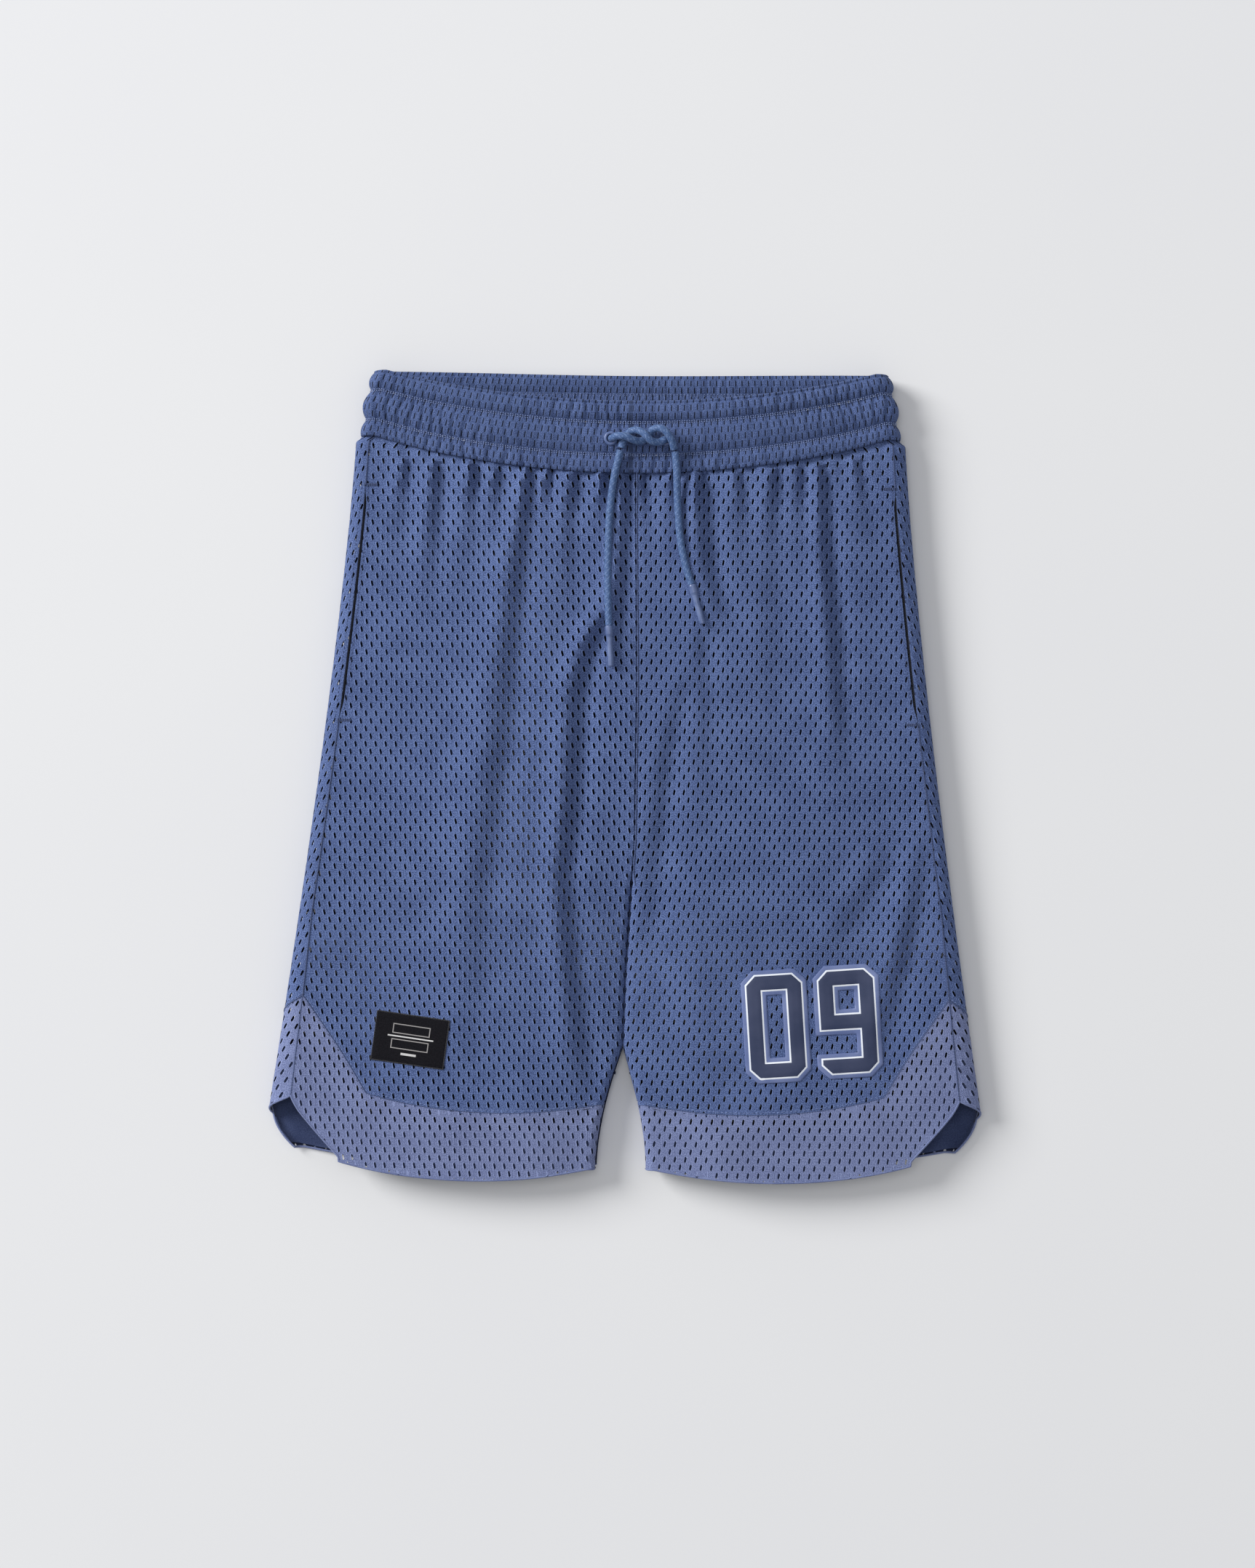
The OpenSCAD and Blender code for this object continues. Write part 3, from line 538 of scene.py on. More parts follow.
def waist_seam(s):
    return mix(SEAM_MID, SEAM_SIDE, share(s) ** 2)


def band_mid(s):
    """The top edge of the hem band, away from the side."""
    return LOW + 44 + 61 * (s - 0.3) ** 2


def band_front(s):
    c = share(s)
    return np.where(c <= CORNER, band_mid(c), mix(band_mid(CORNER), PEAK, (c - CORNER) / (1 - CORNER)))


def band_back(s):
    end, b = PEAK - 22, share(3 - s)
    return np.where(s <= 2, mix(PEAK, end, s - 1),
                    np.where(b >= CORNER, mix(band_mid(CORNER), end, (b - CORNER) / (1 - CORNER)), band_mid(b)))


def hem_front(s):
    """The lower edge of the front."""
    return LOW + 55 * (np.minimum(share(s), 0.87) - 0.37) ** 2


def hem_back(s):
    return LOW + 5.5 + 35 * (share(3 - s) - 0.37) ** 2


def pocket_gap(y):
    """Width of the pocket's slit, which closes at both ends."""
    return 1.7 * smooth((y - POCKET_LOW) / 14) * smooth((POCKET_TOP - y) / 14)


def vent_front(y):
    """s of the notch's front edge."""
    return 1 - 0.17 * share((VENT - y) / 40) ** 1.2


def vent_back(y):
    return 1 + 0.72 * share((VENT - y) / 13)


# ---- Mesh helpers

def new_piece(name, points, faces, material, uv=None):
    """A mesh from points in millimetres, with its cloth pattern laid by uv where that is given."""
    mesh = bpy.data.meshes.new(name)
    mesh.from_pydata([tuple(p) for p in np.asarray(points) * MM], [], [tuple(f) for f in faces])
    mesh.materials.append(material)
    if uv is not None:
        loops = np.zeros(len(mesh.loops), np.int32)
        mesh.loops.foreach_get("vertex_index", loops)
        layer = mesh.uv_layers.new(name="weave")
        layer.data.foreach_set("uv", (np.asarray(uv)[loops] * MM).astype(np.float32).ravel())
    mesh.polygons.foreach_set("use_smooth", np.ones(len(mesh.polygons), bool))
    piece = bpy.data.objects.new(name, mesh)
    bpy.context.collection.objects.link(piece)
    return piece


def settle(piece, sharp=None):
    """Apply the modifiers and keep the result as a plain mesh."""
    result = bpy.data.meshes.new_from_object(piece.evaluated_get(bpy.context.evaluated_depsgraph_get()))
    piece.modifiers.clear()
    old, piece.data = piece.data, result
    result.name = piece.name
    if old.users == 0:
        bpy.data.meshes.remove(old)
    if sharp:
        result.set_sharp_from_angle(angle=math.radians(sharp))
    return piece


def thicken(piece, mm, sharp=40, inside=None):
    """Give a sheet its thickness, inwards from its outer face, and give its inner side and rim the inside material
    where one is given: for the slit cloth that is a near-black painted shade.
    """
    wall = piece.modifiers.new("thickness", "SOLIDIFY")
    if inside is not None:
        piece.data.materials.append(inside)
        wall.material_offset = wall.material_offset_rim = 1
    wall.thickness = mm * MM
    wall.offset = -1
    wall.use_even_offset = False
    return settle(piece, sharp)


def outward(piece):
    form = bmesh.new()
    form.from_mesh(piece.data)
    bmesh.ops.recalc_face_normals(form, faces=form.faces)
    form.to_mesh(piece.data)
    form.free()


def circle(n):
    """n even angles all the way round."""
    return np.linspace(0, 2 * math.pi, n, endpoint=False)


def unit(v):
    return v / np.linalg.norm(v, axis=-1, keepdims=True)


def grid_faces(rows, columns, wrap=False):
    """Faces between rows of points. With wrap, the last column joins the first."""
    i, j = np.meshgrid(np.arange(rows - 1), np.arange(columns if wrap else columns - 1), indexing="ij")
    k = (j + 1) % columns
    a, b = i * columns + j, i * columns + k
    return np.stack([a, b, b + columns, a + columns], -1).reshape(-1, 4)


# ---- Geometry Nodes: the slit mesh and the stitches

class Tree(Nodes):
    """A Geometry Nodes tree with named inputs."""

    def __init__(self, name, inputs):
        super().__init__(bpy.data.node_groups.new(name, "GeometryNodeTree"))
        face = self.tree.interface
        for way in ("INPUT", "OUTPUT"):
            face.new_socket("Geometry", in_out=way, socket_type="NodeSocketGeometry")
        self.keys = {title: face.new_socket(title, in_out="INPUT", socket_type="NodeSocket" + kind).identifier
                     for title, kind in inputs}
        self.given = self.tree.nodes.new("NodeGroupInput")
        self.result = self.tree.nodes.new("NodeGroupOutput")

    def __getitem__(self, title):
        return self.given.outputs[title]

    def end_with(self, instances):
        real = self.add("GeometryNodeRealizeInstances", in_0=instances)
        weld = self.add("GeometryNodeMergeByDistance", in_0=real, named={"Distance": self["Weld"]})
        dressed = self.add("GeometryNodeSetMaterial", in_0=weld, named={"Material": self["Material"]})
        self.put(self.result.inputs[0], dressed)
        return self

    def use(self, piece, **values):
        modifier = piece.modifiers.new(self.tree.name, "NODES")
        modifier.node_group = self.tree
        for title, value in values.items():
            modifier[self.keys[title.replace("_", " ")]] = value


def slit_mesh_tree():
    """Copies of one cell on a grid whose odd rows are shifted by half a pitch."""
    t = Tree("slit mesh", [("Cell", "Object"), ("Columns", "Int"), ("Rows", "Int"), ("Pitch", "Float"),
                           ("Row step", "Float"), ("Weld", "Float"), ("Material", "Material")])
    wide = t.times(t.less(t["Columns"], 1), t["Pitch"])
    tall = t.times(t.less(t["Rows"], 1), t["Row step"])
    grid = t.add("GeometryNodeMeshGrid", in_0=wide, in_1=tall, in_2=t["Columns"], in_3=t["Rows"])
    parts = t.add("ShaderNodeSeparateXYZ", in_0=t.add("GeometryNodeInputPosition"))
    from_low = t.plus(parts.node.outputs[1], t.math("DIVIDE", tall, 2))
    odd = t.math("FLOORED_MODULO", t.math("ROUND", t.math("DIVIDE", from_low, t["Row step"])), 2)
    shift = t.add("ShaderNodeCombineXYZ", in_0=t.times(odd, t.math("DIVIDE", t["Pitch"], 2)))
    points = t.add("GeometryNodeSetPosition", in_0=grid, named={"Offset": shift})
    cell = t.add("GeometryNodeObjectInfo", named={"Object": t["Cell"]}).node.outputs["Geometry"]
    return t.end_with(t.add("GeometryNodeInstanceOnPoints", in_0=points, named={"Instance": cell}))


def stitch_tree():
    """Beads of thread along a line, lying in its direction and turned to alternate sides by the zigzag."""
    t = Tree("stitch row", [("Length", "Float"), ("Gap", "Float"), ("Width", "Float"), ("Zigzag", "Float"),
                            ("Weld", "Float"), ("Material", "Material")])
    curve = t.add("GeometryNodeMeshToCurve", in_0=t["Geometry"])
    even = t.add("GeometryNodeResampleCurve", mode="LENGTH", in_0=curve,
                 named={"Length": t.plus(t["Length"], t["Gap"])})
    up = t.add("GeometryNodeInputNamedAttribute", data_type="FLOAT_VECTOR", in_0="up")
    turn = t.add("FunctionNodeAlignRotationToVector", axis="X", in_2=t.add("GeometryNodeInputTangent"))
    turn = t.add("FunctionNodeAlignRotationToVector", axis="Z", pivot_axis="X", in_0=turn, in_2=up)
    sign = t.less(t.times(t.math("FLOORED_MODULO", t.add("GeometryNodeInputIndex"), 2), 2), 1)
    swing = t.add("ShaderNodeCombineXYZ", in_2=t.times(sign, t["Zigzag"]))
    swing = t.add("FunctionNodeEulerToRotation", in_0=swing)
    turn = t.add("FunctionNodeRotateRotation", rotation_space="LOCAL", in_0=turn, in_1=swing)
    size = t.add("ShaderNodeCombineXYZ", in_0=t["Length"], in_1=t["Width"], in_2=t.times(t["Width"], 0.8))
    bead = t.add("GeometryNodeMeshUVSphere", in_0=6, in_1=4, in_2=0.5)
    bead = t.add("GeometryNodeTransform", in_0=bead, named={"Scale": size})
    return t.end_with(t.add("GeometryNodeInstanceOnPoints", in_0=even, named={"Instance": bead, "Rotation": turn}))


slit_mesh, stitches = slit_mesh_tree(), stitch_tree()


def slit_cell():
    """One slit and the cloth round it: a ring of eight faces."""
    x, y = PITCH / 2, STEP / 2
    rim = [(0, y), (x, y), (x, 0), (x, -y), (0, -y), (-x, -y), (-x, 0), (-x, y)]
    slit = [(0.30, 2.15), (0.92, 1.05), (0.66, -0.2), (0.38, -1.4), (-0.30, -2.15), (-0.92, -1.05), (-0.66, 0.2),
            (-0.38, 1.4)]
    faces = [(i, i + 8, (i + 1) % 8 + 8, (i + 1) % 8) for i in range(8)]
    mesh = bpy.data.meshes.new("slit_cell")
    mesh.from_pydata([(a, b, 0) for a, b in rim + slit], [], faces)
    cell = bpy.data.objects.new("slit_cell", mesh)
    bpy.context.collection.objects.link(cell)
    return cell


cell = slit_cell()


def flat_slit_cloth(name, left, right, low, high, material):
    """Slit cloth lying flat over the given widths and heights."""
    first, last = math.floor(low / STEP) - 1, math.ceil(high / STEP) + 1
    if first % 2:
        first -= 1
    column = math.floor(left / PITCH) - 1
    columns, rows = math.ceil(right / PITCH) + 2 - column, last - first + 1
    seed = bpy.data.objects.new(name, bpy.data.meshes.new(name))
    bpy.context.collection.objects.link(seed)
    slit_mesh.use(seed, Cell=cell, Columns=columns, Rows=rows, Pitch=PITCH, Row_step=STEP, Weld=0.05,
                  Material=material)
    settle(seed)
    points = np.zeros(len(seed.data.vertices) * 3, np.float32)
    seed.data.vertices.foreach_get("co", points)
    points = points.reshape(-1, 3).astype(float)
    points[:, 0] += ((columns - 1) / 2 + column) * PITCH
    points[:, 1] += (first + last) / 2 * STEP
    faces = np.array([p.vertices[:] for p in seed.data.polygons])
    bpy.data.objects.remove(seed)
    return points[:, :2], faces


TABLE_STEP = 5.0                # mm of height between the rows of a table of cloth lengths


def arc_table(s_from, s_to):
    """Length of cloth across to s at each height, counted so that it starts as x where the cloth is level."""
    ys = np.arange(-275, 240.1, TABLE_STEP)
    ss = np.linspace(s_from, s_to, 260)
    x, z, _, _ = skin(ss[None, :], ys[:, None])
    run = np.concatenate([np.zeros((len(ys), 1)), np.cumsum(np.hypot(np.diff(x), np.diff(z)), 1)], 1)
    level = np.abs(ss - (0 if s_from < 0 else 3)).argmin()
    return ys, ss, run - run[:, [level]] + x[:, [level]]


def whole_and_part(value, count):
    """The entry of a table that value falls on, and how far it is on towards the next."""
    at = np.clip(value, 0, count - 1.001)
    return at.astype(int), at - at.astype(int)


def place_on(table, u, y):
    """s of the point that lies u along the cloth at height y."""
    ys, ss, run = table
    row, part = whole_and_part((y - ys[0]) / TABLE_STEP, len(ys))
    s = np.zeros_like(u)
    for r in np.unique(row):
        pick = row == r
        low, high = (np.interp(u[pick], run[k], ss) for k in (r, r + 1))
        s[pick] = mix(low, high, part[pick])
    return s


def length_at(table, s, y):
    ys, ss, run = table
    row, part = whole_and_part((y - ys[0]) / TABLE_STEP, len(ys))
    col, f = whole_and_part((s - ss[0]) / (ss[1] - ss[0]), len(ss))
    return mix(mix(run[row, col], run[row, col + 1], f), mix(run[row + 1, col], run[row + 1, col + 1], f), part)


front_table, back_table = arc_table(-1, 1), arc_table(4, 1)


def slit_panel(name, side, table, low_of, high_of, edge_of, material, cover, start):
    """A piece of slit cloth cut to shape and laid on the body. cover is how far it lies over the body's face, and
    start is where its slits begin."""
    flat, faces = flat_slit_cloth(name, table[2].min(), table[2].max(), LOW - 7.5, SEAM_SIDE + 4.5,
                                  material)
    u, y = flat[:, 0] + start, flat[:, 1]
    s = place_on(table, u, y)
    y_in = np.clip(y, low_of(s), high_of(s))
    u_in = np.clip(u, length_at(table, np.full_like(u, table[1][0]), y_in), edge_of(y_in))
    off = np.hypot(u - u_in, y - y_in) > 1e-6
    faces = faces[~off[faces].all(1)]
    s = place_on(table, u_in, y_in)
    y_in = np.clip(y_in, low_of(s), high_of(s))
    used = np.unique(faces)
    index = -np.ones(len(u), int)
    index[used] = np.arange(len(used))
    shut = [index[k] for k in cut_slits(flat, off) if (index[k] >= 0).all()]
    faces = index[faces]
    points = drape(s[used], y_in[used], side, -cover)
    if facing_out(points, faces, s[used], y_in[used], side):
        faces = faces[:, ::-1]
    else:
        shut = [k[::-1] for k in shut]
    piece = new_piece(name, points, [*faces, *shut], material, flat[used])
    drop_slivers(piece)
    # the inner face and the walls of the slits take the near-black painted shade
    return thicken(piece, CLOTH, inside=cloth_inside)


def cut_slits(flat, off):
    """The slits that an edge cuts through, each as its points in order. They are sewn shut."""
    row = np.round(flat[:, 1] / STEP)
    across = flat[:, 0] - (row % 2) * PITCH / 2
    column = np.round(across / PITCH)
    dx, dy = across - column * PITCH, flat[:, 1] - row * STEP
    lip = (np.abs(dx) < 1.3) & (np.abs(dy) < 2.3)
    number = (row - row.min()) * 1000 + column - column.min()
    loops = [np.where(lip & (number == k))[0] for k in np.unique(number[lip & off])]
    return [i[np.argsort(np.arctan2(dy[i], dx[i]))] for i in loops]


def facing_out(points, faces, s, y, side):
    """Whether most faces point into the body and have to be turned."""
    a, b, d = (points[faces[:, k]] for k in (0, 1, 3))
    normal = np.cross(b - a, d - a)
    _, _, nx, nz = skin(s[faces[:, 0]], y[faces[:, 0]])
    return (normal[:, 0] * nx * side + normal[:, 2] * nz).sum() < 0


def drop_slivers(piece):
    form = bmesh.new()
    form.from_mesh(piece.data)
    bmesh.ops.remove_doubles(form, verts=form.verts, dist=0.04 * MM)
    bmesh.ops.delete(form, geom=[f for f in form.faces if f.calc_area() < 1e-10], context="FACES")
    bmesh.ops.delete(form, geom=[v for v in form.verts if not v.link_faces], context="VERTS")
    form.to_mesh(piece.data)
    form.free()


def cut_at(table, s_of):
    """Where a panel's side is cut, as a length along the cloth, from the s of its cut at each height."""
    return lambda y: length_at(table, s_of(y), y)


# Each panel: its name, the node that it stands for, its table, lower, upper and side edges, and its cloth.
PANELS = (
    ("front", "front_cloth_", "front_panel_", front_table, lambda s: band_front(s) - 1.5,
     lambda s: waist_seam(s) + 2, lambda y: length_at(front_table, np.ones_like(y), y) - pocket_gap(y),
     mesh_cloth, 0, 0),
    ("back", "back_cloth_", "back_panel_", back_table, lambda s: band_back(s) - 1.5,
     lambda s: SEAM_SIDE + 2 + 0 * s, cut_at(back_table, np.ones_like), mesh_cloth, 0, 0),
    ("hem_front", "hem_cloth_front_", "hem_band_front_", front_table, hem_front, band_front,
     cut_at(front_table, vent_front), band_cloth, 0.35, 2.1),
    ("hem_back", "hem_cloth_back_", "hem_band_back_", back_table, hem_back, band_back,
     cut_at(back_table, vent_back), band_cloth, 0, 2.1),
)
SIDES = (("left", -1), ("right", 1))
sheets, trim = {}, []           # cloth that is declared as a sheet, and every other piece that rides on the shorts
for word, side in SIDES:
    for key, name, node, *cut in PANELS:
        sheets[key, word] = slit_panel(name + word, side, *cut)
        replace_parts(sheets[key, word], node + word)
bpy.data.objects.remove(cell)


# ---- Plain facings inside the hem

def facing(key, word, side, ss, low_of, high_of, s_of):
    v = np.linspace(0, 1, 9)
    s, t = np.meshgrid(ss, v)
    y = mix(high_of(s), low_of(s), mix(0.3, 0.97, t))
    s = s_of(s, y)
    points = drape(s, y, side, 0.95).reshape(-1, 3)
    faces = grid_faces(len(v), len(ss))
    if facing_out(points, faces, s.ravel(), y.ravel(), side):
        faces = faces[:, ::-1]
    sheets[key, word] = thicken(new_piece(key + "_" + word, points, faces, facing_cloth), FACING)
    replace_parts(sheets[key, word], "hem_" + key + "_" + word)


def drawn(s, reach):
    """Only the outer part of a facing is drawn in to reach, so that it stays inside the notch."""
    return np.where(s <= CORNER, s, mix(CORNER, reach, (s - CORNER) / (1 - CORNER)))


for word, side in SIDES:
    facing("facing_front", word, side, np.linspace(-0.3, 1, 70), hem_front, band_front,
           lambda s, y: drawn(s, vent_front(y)))
    facing("facing_back", word, side, np.linspace(1, 3.3, 90), hem_back, band_back,
           lambda s, y: np.where(s < 2, 2 - (2 - s) * (2 - vent_back(y)), s))


# ---- Waistband: one gathered casing all the way round

CASING = 4.6                    # from the casing's outer face to its inner one


def band_y(s, t):
    """Height at t of the way up the band."""
    return np.where(s <= 1, mix(waist_seam(s), TOP - DIP * (1 - np.minimum(s, 1) ** 2), t),
                    mix(SEAM_SIDE, TOP - 1.5 * smooth(s - 2), t))


def band_place(s, side, t, d):
    """Points d out from the casing's even face, with the direction that the face looks in."""
    y = band_y(s, t)
    x, z, nx, nz = skin(s, y)
    e = d - SWELL * smooth(s - 1)
    # the foot of the band is drawn in at the sides
    x = x - 3.4 * smooth((s - 0.75) / 0.25) * smooth((2.4 - s) / 0.4) * (1 - smooth(t / 0.55))
    return np.stack([side * (x + nx * e), y, z + nz * e], -1), np.stack([side * nx, 0 * y, nz], -1)


def tunnel(t):
    """How far the casing stands out between its rows of stitches. It rolls over at the waist seam."""
    h = np.zeros_like(t)
    for a, b in zip((-0.07,) + ROWS[1:-1], ROWS[1:]):
        inside = (t >= a) & (t <= b)
        h = np.where(inside, (SWELL + TUCK) * np.sin(np.pi * share((t - a) / (b - a))) ** 0.6, h)
    return h - TUCK


half_loop = np.concatenate([np.linspace(0, 1, 216, endpoint=False), np.linspace(1, 2, 40, endpoint=False),
                            np.linspace(2, 3, 200)])
loop_s = np.concatenate([half_loop, half_loop[::-1]])
loop_side = np.repeat([1.0, -1.0], len(half_loop))
middle, _ = band_place(loop_s, loop_side, 0.5 + 0 * loop_s, 0 * loop_s)
loop_arc = np.concatenate([[0], np.cumsum(np.linalg.norm(np.diff(middle, axis=0), axis=1))])


def gathers(arc, t):
    """Fine upright ribs where the elastic draws the cloth in."""
    phase = arc / 8.6 + 0.5 * np.sin(arc / 23) + 0.15 * np.sin(t * 9 + arc / 7)
    strength = 0.65 + 0.35 * np.sin(arc / 31 + 5 * t)
    crowd = np.minimum.reduce([np.abs(t - r) for r in ROWS])
    wide = np.abs(np.sin(np.pi * phase)) ** 0.8
    fine = np.abs(np.sin(np.pi * (2 * phase + 0.23)))
    return -(1.5 * (1 - wide) + 0.75 * (1 - fine)) * strength * np.exp(-crowd * 1.1)


def casing():
    """The outer face, the rolled top and the inner face in one closed wall, open where the eyelets pass."""
    outer_t, inner_t = np.linspace(0, 0.97, 44), np.linspace(0.97, 0.02, 26)
    roll = np.array([(0.985, 0.55), (1.0, -0.1), (1.006, -1.1), (1.008, -2.4), (1.004, -3.6), (0.99, -4.5)])
    ring_t = np.concatenate([outer_t, roll[:, 0], inner_t])
    t, s = np.meshgrid(ring_t, loop_s, indexing="ij")
    arc = np.broadcast_to(loop_arc, t.shape)
    ribs, stand = gathers(arc, t), tunnel(t)
    n_out, n_top = len(outer_t), len(outer_t) + len(roll)
    out = np.concatenate([stand[:n_out] + ribs[:n_out], roll[:, 1:] + 0.4 * ribs[n_out:n_top],
                          -CASING - 0.35 * (stand[n_top:] + TUCK) - 0.6 * ribs[n_top:]])
    points = band_place(s, np.broadcast_to(loop_side, t.shape), t, out)[0].reshape(-1, 3)
    up = np.concatenate([outer_t * 45, 45 + np.arange(len(roll)), 51 + (0.97 - inner_t) * 45])
    weave = np.stack([arc * PITCH / 4.3, np.broadcast_to(up[:, None], t.shape)], -1).reshape(-1, 2)
    faces = grid_faces(len(ring_t) + 1, len(loop_s), wrap=True) % t.size
    middles = points[faces].mean(1)
    for x in (CLOSURE - EYELET[0], CLOSURE + EYELET[0]):
        near = np.hypot(middles[:, 0] - x, middles[:, 1] - EYELET[1]) < 3.1
        keep = ~(near & (middles[:, 2] > BAND_TOP - 3.5))
        faces, middles = faces[keep], middles[keep]
    return new_piece("waistband", points, faces, waist_cloth, weave)


def elastic_loop():
    """The flat web inside the casing."""
    coarse = slice(0, len(loop_s), 4)
    t, s = np.meshgrid(np.linspace(0.05, 0.94, 12), loop_s[coarse], indexing="ij")
    points, _ = band_place(s, np.broadcast_to(loop_side[coarse], t.shape), t, np.full_like(t, -2.7))
    return thicken(new_piece("elastic", points.reshape(-1, 3), grid_faces(*t.shape, wrap=True), elastic_web), 1.0)


def eyelet_shade_disc(word, x):
    """A small disc behind the eyelet, which the metal is set through, in near-black painted shade so that the eyelet's
    hole reads dark.
    """
    turn = circle(32)
    rings = [np.stack([x + r * np.cos(turn), EYELET[1] + r * np.sin(turn), 0 * turn + BAND_TOP - 1.7], -1)
             for r in (0.4, 2.4, 4.4)]
    faces = [*grid_faces(3, 32, wrap=True), range(32)[::-1]]
    disc = new_piece("eyelet_backing_" + word, np.concatenate(rings), faces, cloth_inside)
    outward(disc)
    return thicken(disc, 0.3)


waistband, elastic = casing(), elastic_loop()
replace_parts(waistband, "waistband_front", "waistband_back")
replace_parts(elastic, "waist_elastic")
trim += [waistband, elastic] + [eyelet_shade_disc(word, CLOSURE + side * EYELET[0]) for word, side in SIDES]


# ---- Drawcord: a braided tube along its route

def spline(points, step):
    """An even run of points on a smooth curve through the given ones."""
    p = np.array(points, float)
    p = np.concatenate([[2 * p[0] - p[1]], p, [2 * p[-1] - p[-2]]])
    out = []
    for a, b, c, d in zip(p[:-3], p[1:-2], p[2:-1], p[3:]):
        t = np.linspace(0, 1, 40, endpoint=False)[:, None]
        out.append(0.5 * (2 * b + (c - a) * t + (2 * a - 5 * b + 4 * c - d) * t ** 2
                          + (3 * b - a - 3 * c + d) * t ** 3))
    out = np.concatenate(out + [p[-2:-1]])
    run = np.concatenate([[0], np.cumsum(np.linalg.norm(np.diff(out, axis=0), axis=1))])
    even = np.linspace(0, run[-1], max(2, round(run[-1] / step)) + 1)
    return np.stack([np.interp(even, run, out[:, i]) for i in range(3)], -1), even


def braid_height(theta, along, r, ends=12):
    a = ends * (theta + along / r) / (2 * math.pi)
    b = ends * (theta - along / r) / (2 * math.pi)
    over = (np.floor(a) + np.floor(b)) % 2 < 0.5
    top, under = np.where(over, a, b), np.where(over, b, a)
    raised = np.sin(np.pi * (top % 1)) ** 0.7 * (0.7 + 0.3 * np.sin(np.pi * (under % 1)))
    carrier = np.floor(top) % ends
    return raised, (carrier % 4 == np.where(over, 0, 2)).astype(float)


def braid(name, points, r, step=0.3, around=48, flatten=1.0):
    """A closed braided tube of radius r along the points, flatten times as high as it is wide."""
    line, along = spline(points, step)
    heading = unit(np.gradient(line, axis=0))
    up = np.array([0, 0.02, 1.0])
    ups = []
    for t in heading:
        up = unit(up - t * (up @ t))
        ups.append(up)
    ups = np.array(ups)
    th, al = np.meshgrid(circle(around), along)
    raised, tick = braid_height(th, al, r)
    radius = r - 0.17 + 0.17 * raised
    points = (line[:, None] + (radius * np.cos(th))[..., None] * flatten * ups[:, None]
              + (radius * np.sin(th))[..., None] * np.cross(heading, ups)[:, None])
    ends = [range(around)[::-1], range((len(line) - 1) * around, len(line) * around)]
    piece = new_piece(name, points.reshape(-1, 3), [*grid_faces(len(line), around, wrap=True), *ends], cord_braid)
    for title, values in (("tick", tick), ("groove", raised)):
        layer = piece.data.attributes.new(title, "FLOAT", "POINT")
        layer.data.foreach_set("value", values.astype(np.float32).ravel())
    outward(piece)
    return piece, line


CORD_R = 2.45
UNDER, OVER = 2.6, 7.9          # the cord's middle above the casing where it lies on it, and where it crosses itself
KNOT = {
    "left": [(-17.6, 220.3, -1.2), (-17.5, 220.3, 0.6), (-16.4, 220.6, 2.6), (-13.6, 221.3, 6.6),
             (-8.6, 220.9, OVER), (-4, 219, 6.6), (0.4, 218.2, 4), (4.6, 219.8, UNDER), (6.6, 222.4, 2.7),
             (9.6, 226, 4.6), (14, 226.4, 6.8), (18, 224, 7.6), (21.6, 218.6, 6.2), (23.2, 213.4, 3.6)],
    "right": [(18, 220.3, -1.2), (18, 220.3, 1.4), (16.6, 219.3, 3.5), (13.2, 217.6, 4.6), (8.8, 218, 6.8),
              (5.6, 220.8, OVER), (2.4, 223.8, 7), (-1.6, 225.2, 5), (-5.4, 224.4, 3.1), (-8.4, 221.6, UNDER),
              (-10, 218, UNDER), (-11.3, 213.8, UNDER)]}
ENDS = {
    "left": [(-11.8, 212.2), (-13.4, 205), (-15, 198), (-16.3, 191), (-17.6, 180), (-18.6, 168), (-19, 156),
             (-19.2, 144), (-19.2, 132), (-19, 120), (-18.7, 109), (-18.2, 98.4)],
    "right": [(23.8, 211.6), (24.6, 205), (25.1, 198), (25.3, 191), (25.7, 180), (26.5, 168), (27.6, 156),
              (29.6, 145), (32.2, 135), (35.4, 125.6)]}


def tail_height(y):
    return float(mix(BAND_TOP + UNDER, CREST + 3.0, smooth((SEAM_MID - y) / 17)))


def cord_in_tunnel():
    """The run round the waist, from one eyelet to the other."""
    halves = [np.concatenate([np.linspace(first, 1, 60), np.linspace(1, 2, 12)[1:], np.linspace(2, 3, 40)[1:]])
              for first in (0.113, 0.060)]
    s = np.concatenate([halves[0], halves[1][::-1]])
    line, _ = band_place(s, np.repeat([1.0, -1.0], len(halves[0])), np.full_like(s, 0.475), np.full_like(s, -1.2))
    return braid("cord_in_tunnel", line[::3], 1.9, step=1.2, around=16, flatten=0.8)[0]


tails = {}
for word, route in KNOT.items():
    strand, _ = braid("knot_strand_" + word, [(CLOSURE + x, y, BAND_TOP + z) for x, y, z in route], CORD_R)
    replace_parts(strand, "drawcord_knot")
    trim.append(strand)
for word, route in ENDS.items():
    tails[word] = braid("cord_end_" + word + "_braid", [(CLOSURE + x, y, tail_height(y)) for x, y in route], CORD_R)
    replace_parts(tails[word][0], "drawcord_tail_" + word)
trim.append(cord_in_tunnel())
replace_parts(trim[-1], "drawcord_run")


# ---- Stitching

def surface_line(s, y, side, lift):
    """A line on the outer face, with the direction that the face looks in."""
    _, _, nx, nz = skin(s, y)
    return drape(s, y, side, -lift), np.stack([side * nx, 0 * nx, nz], -1)


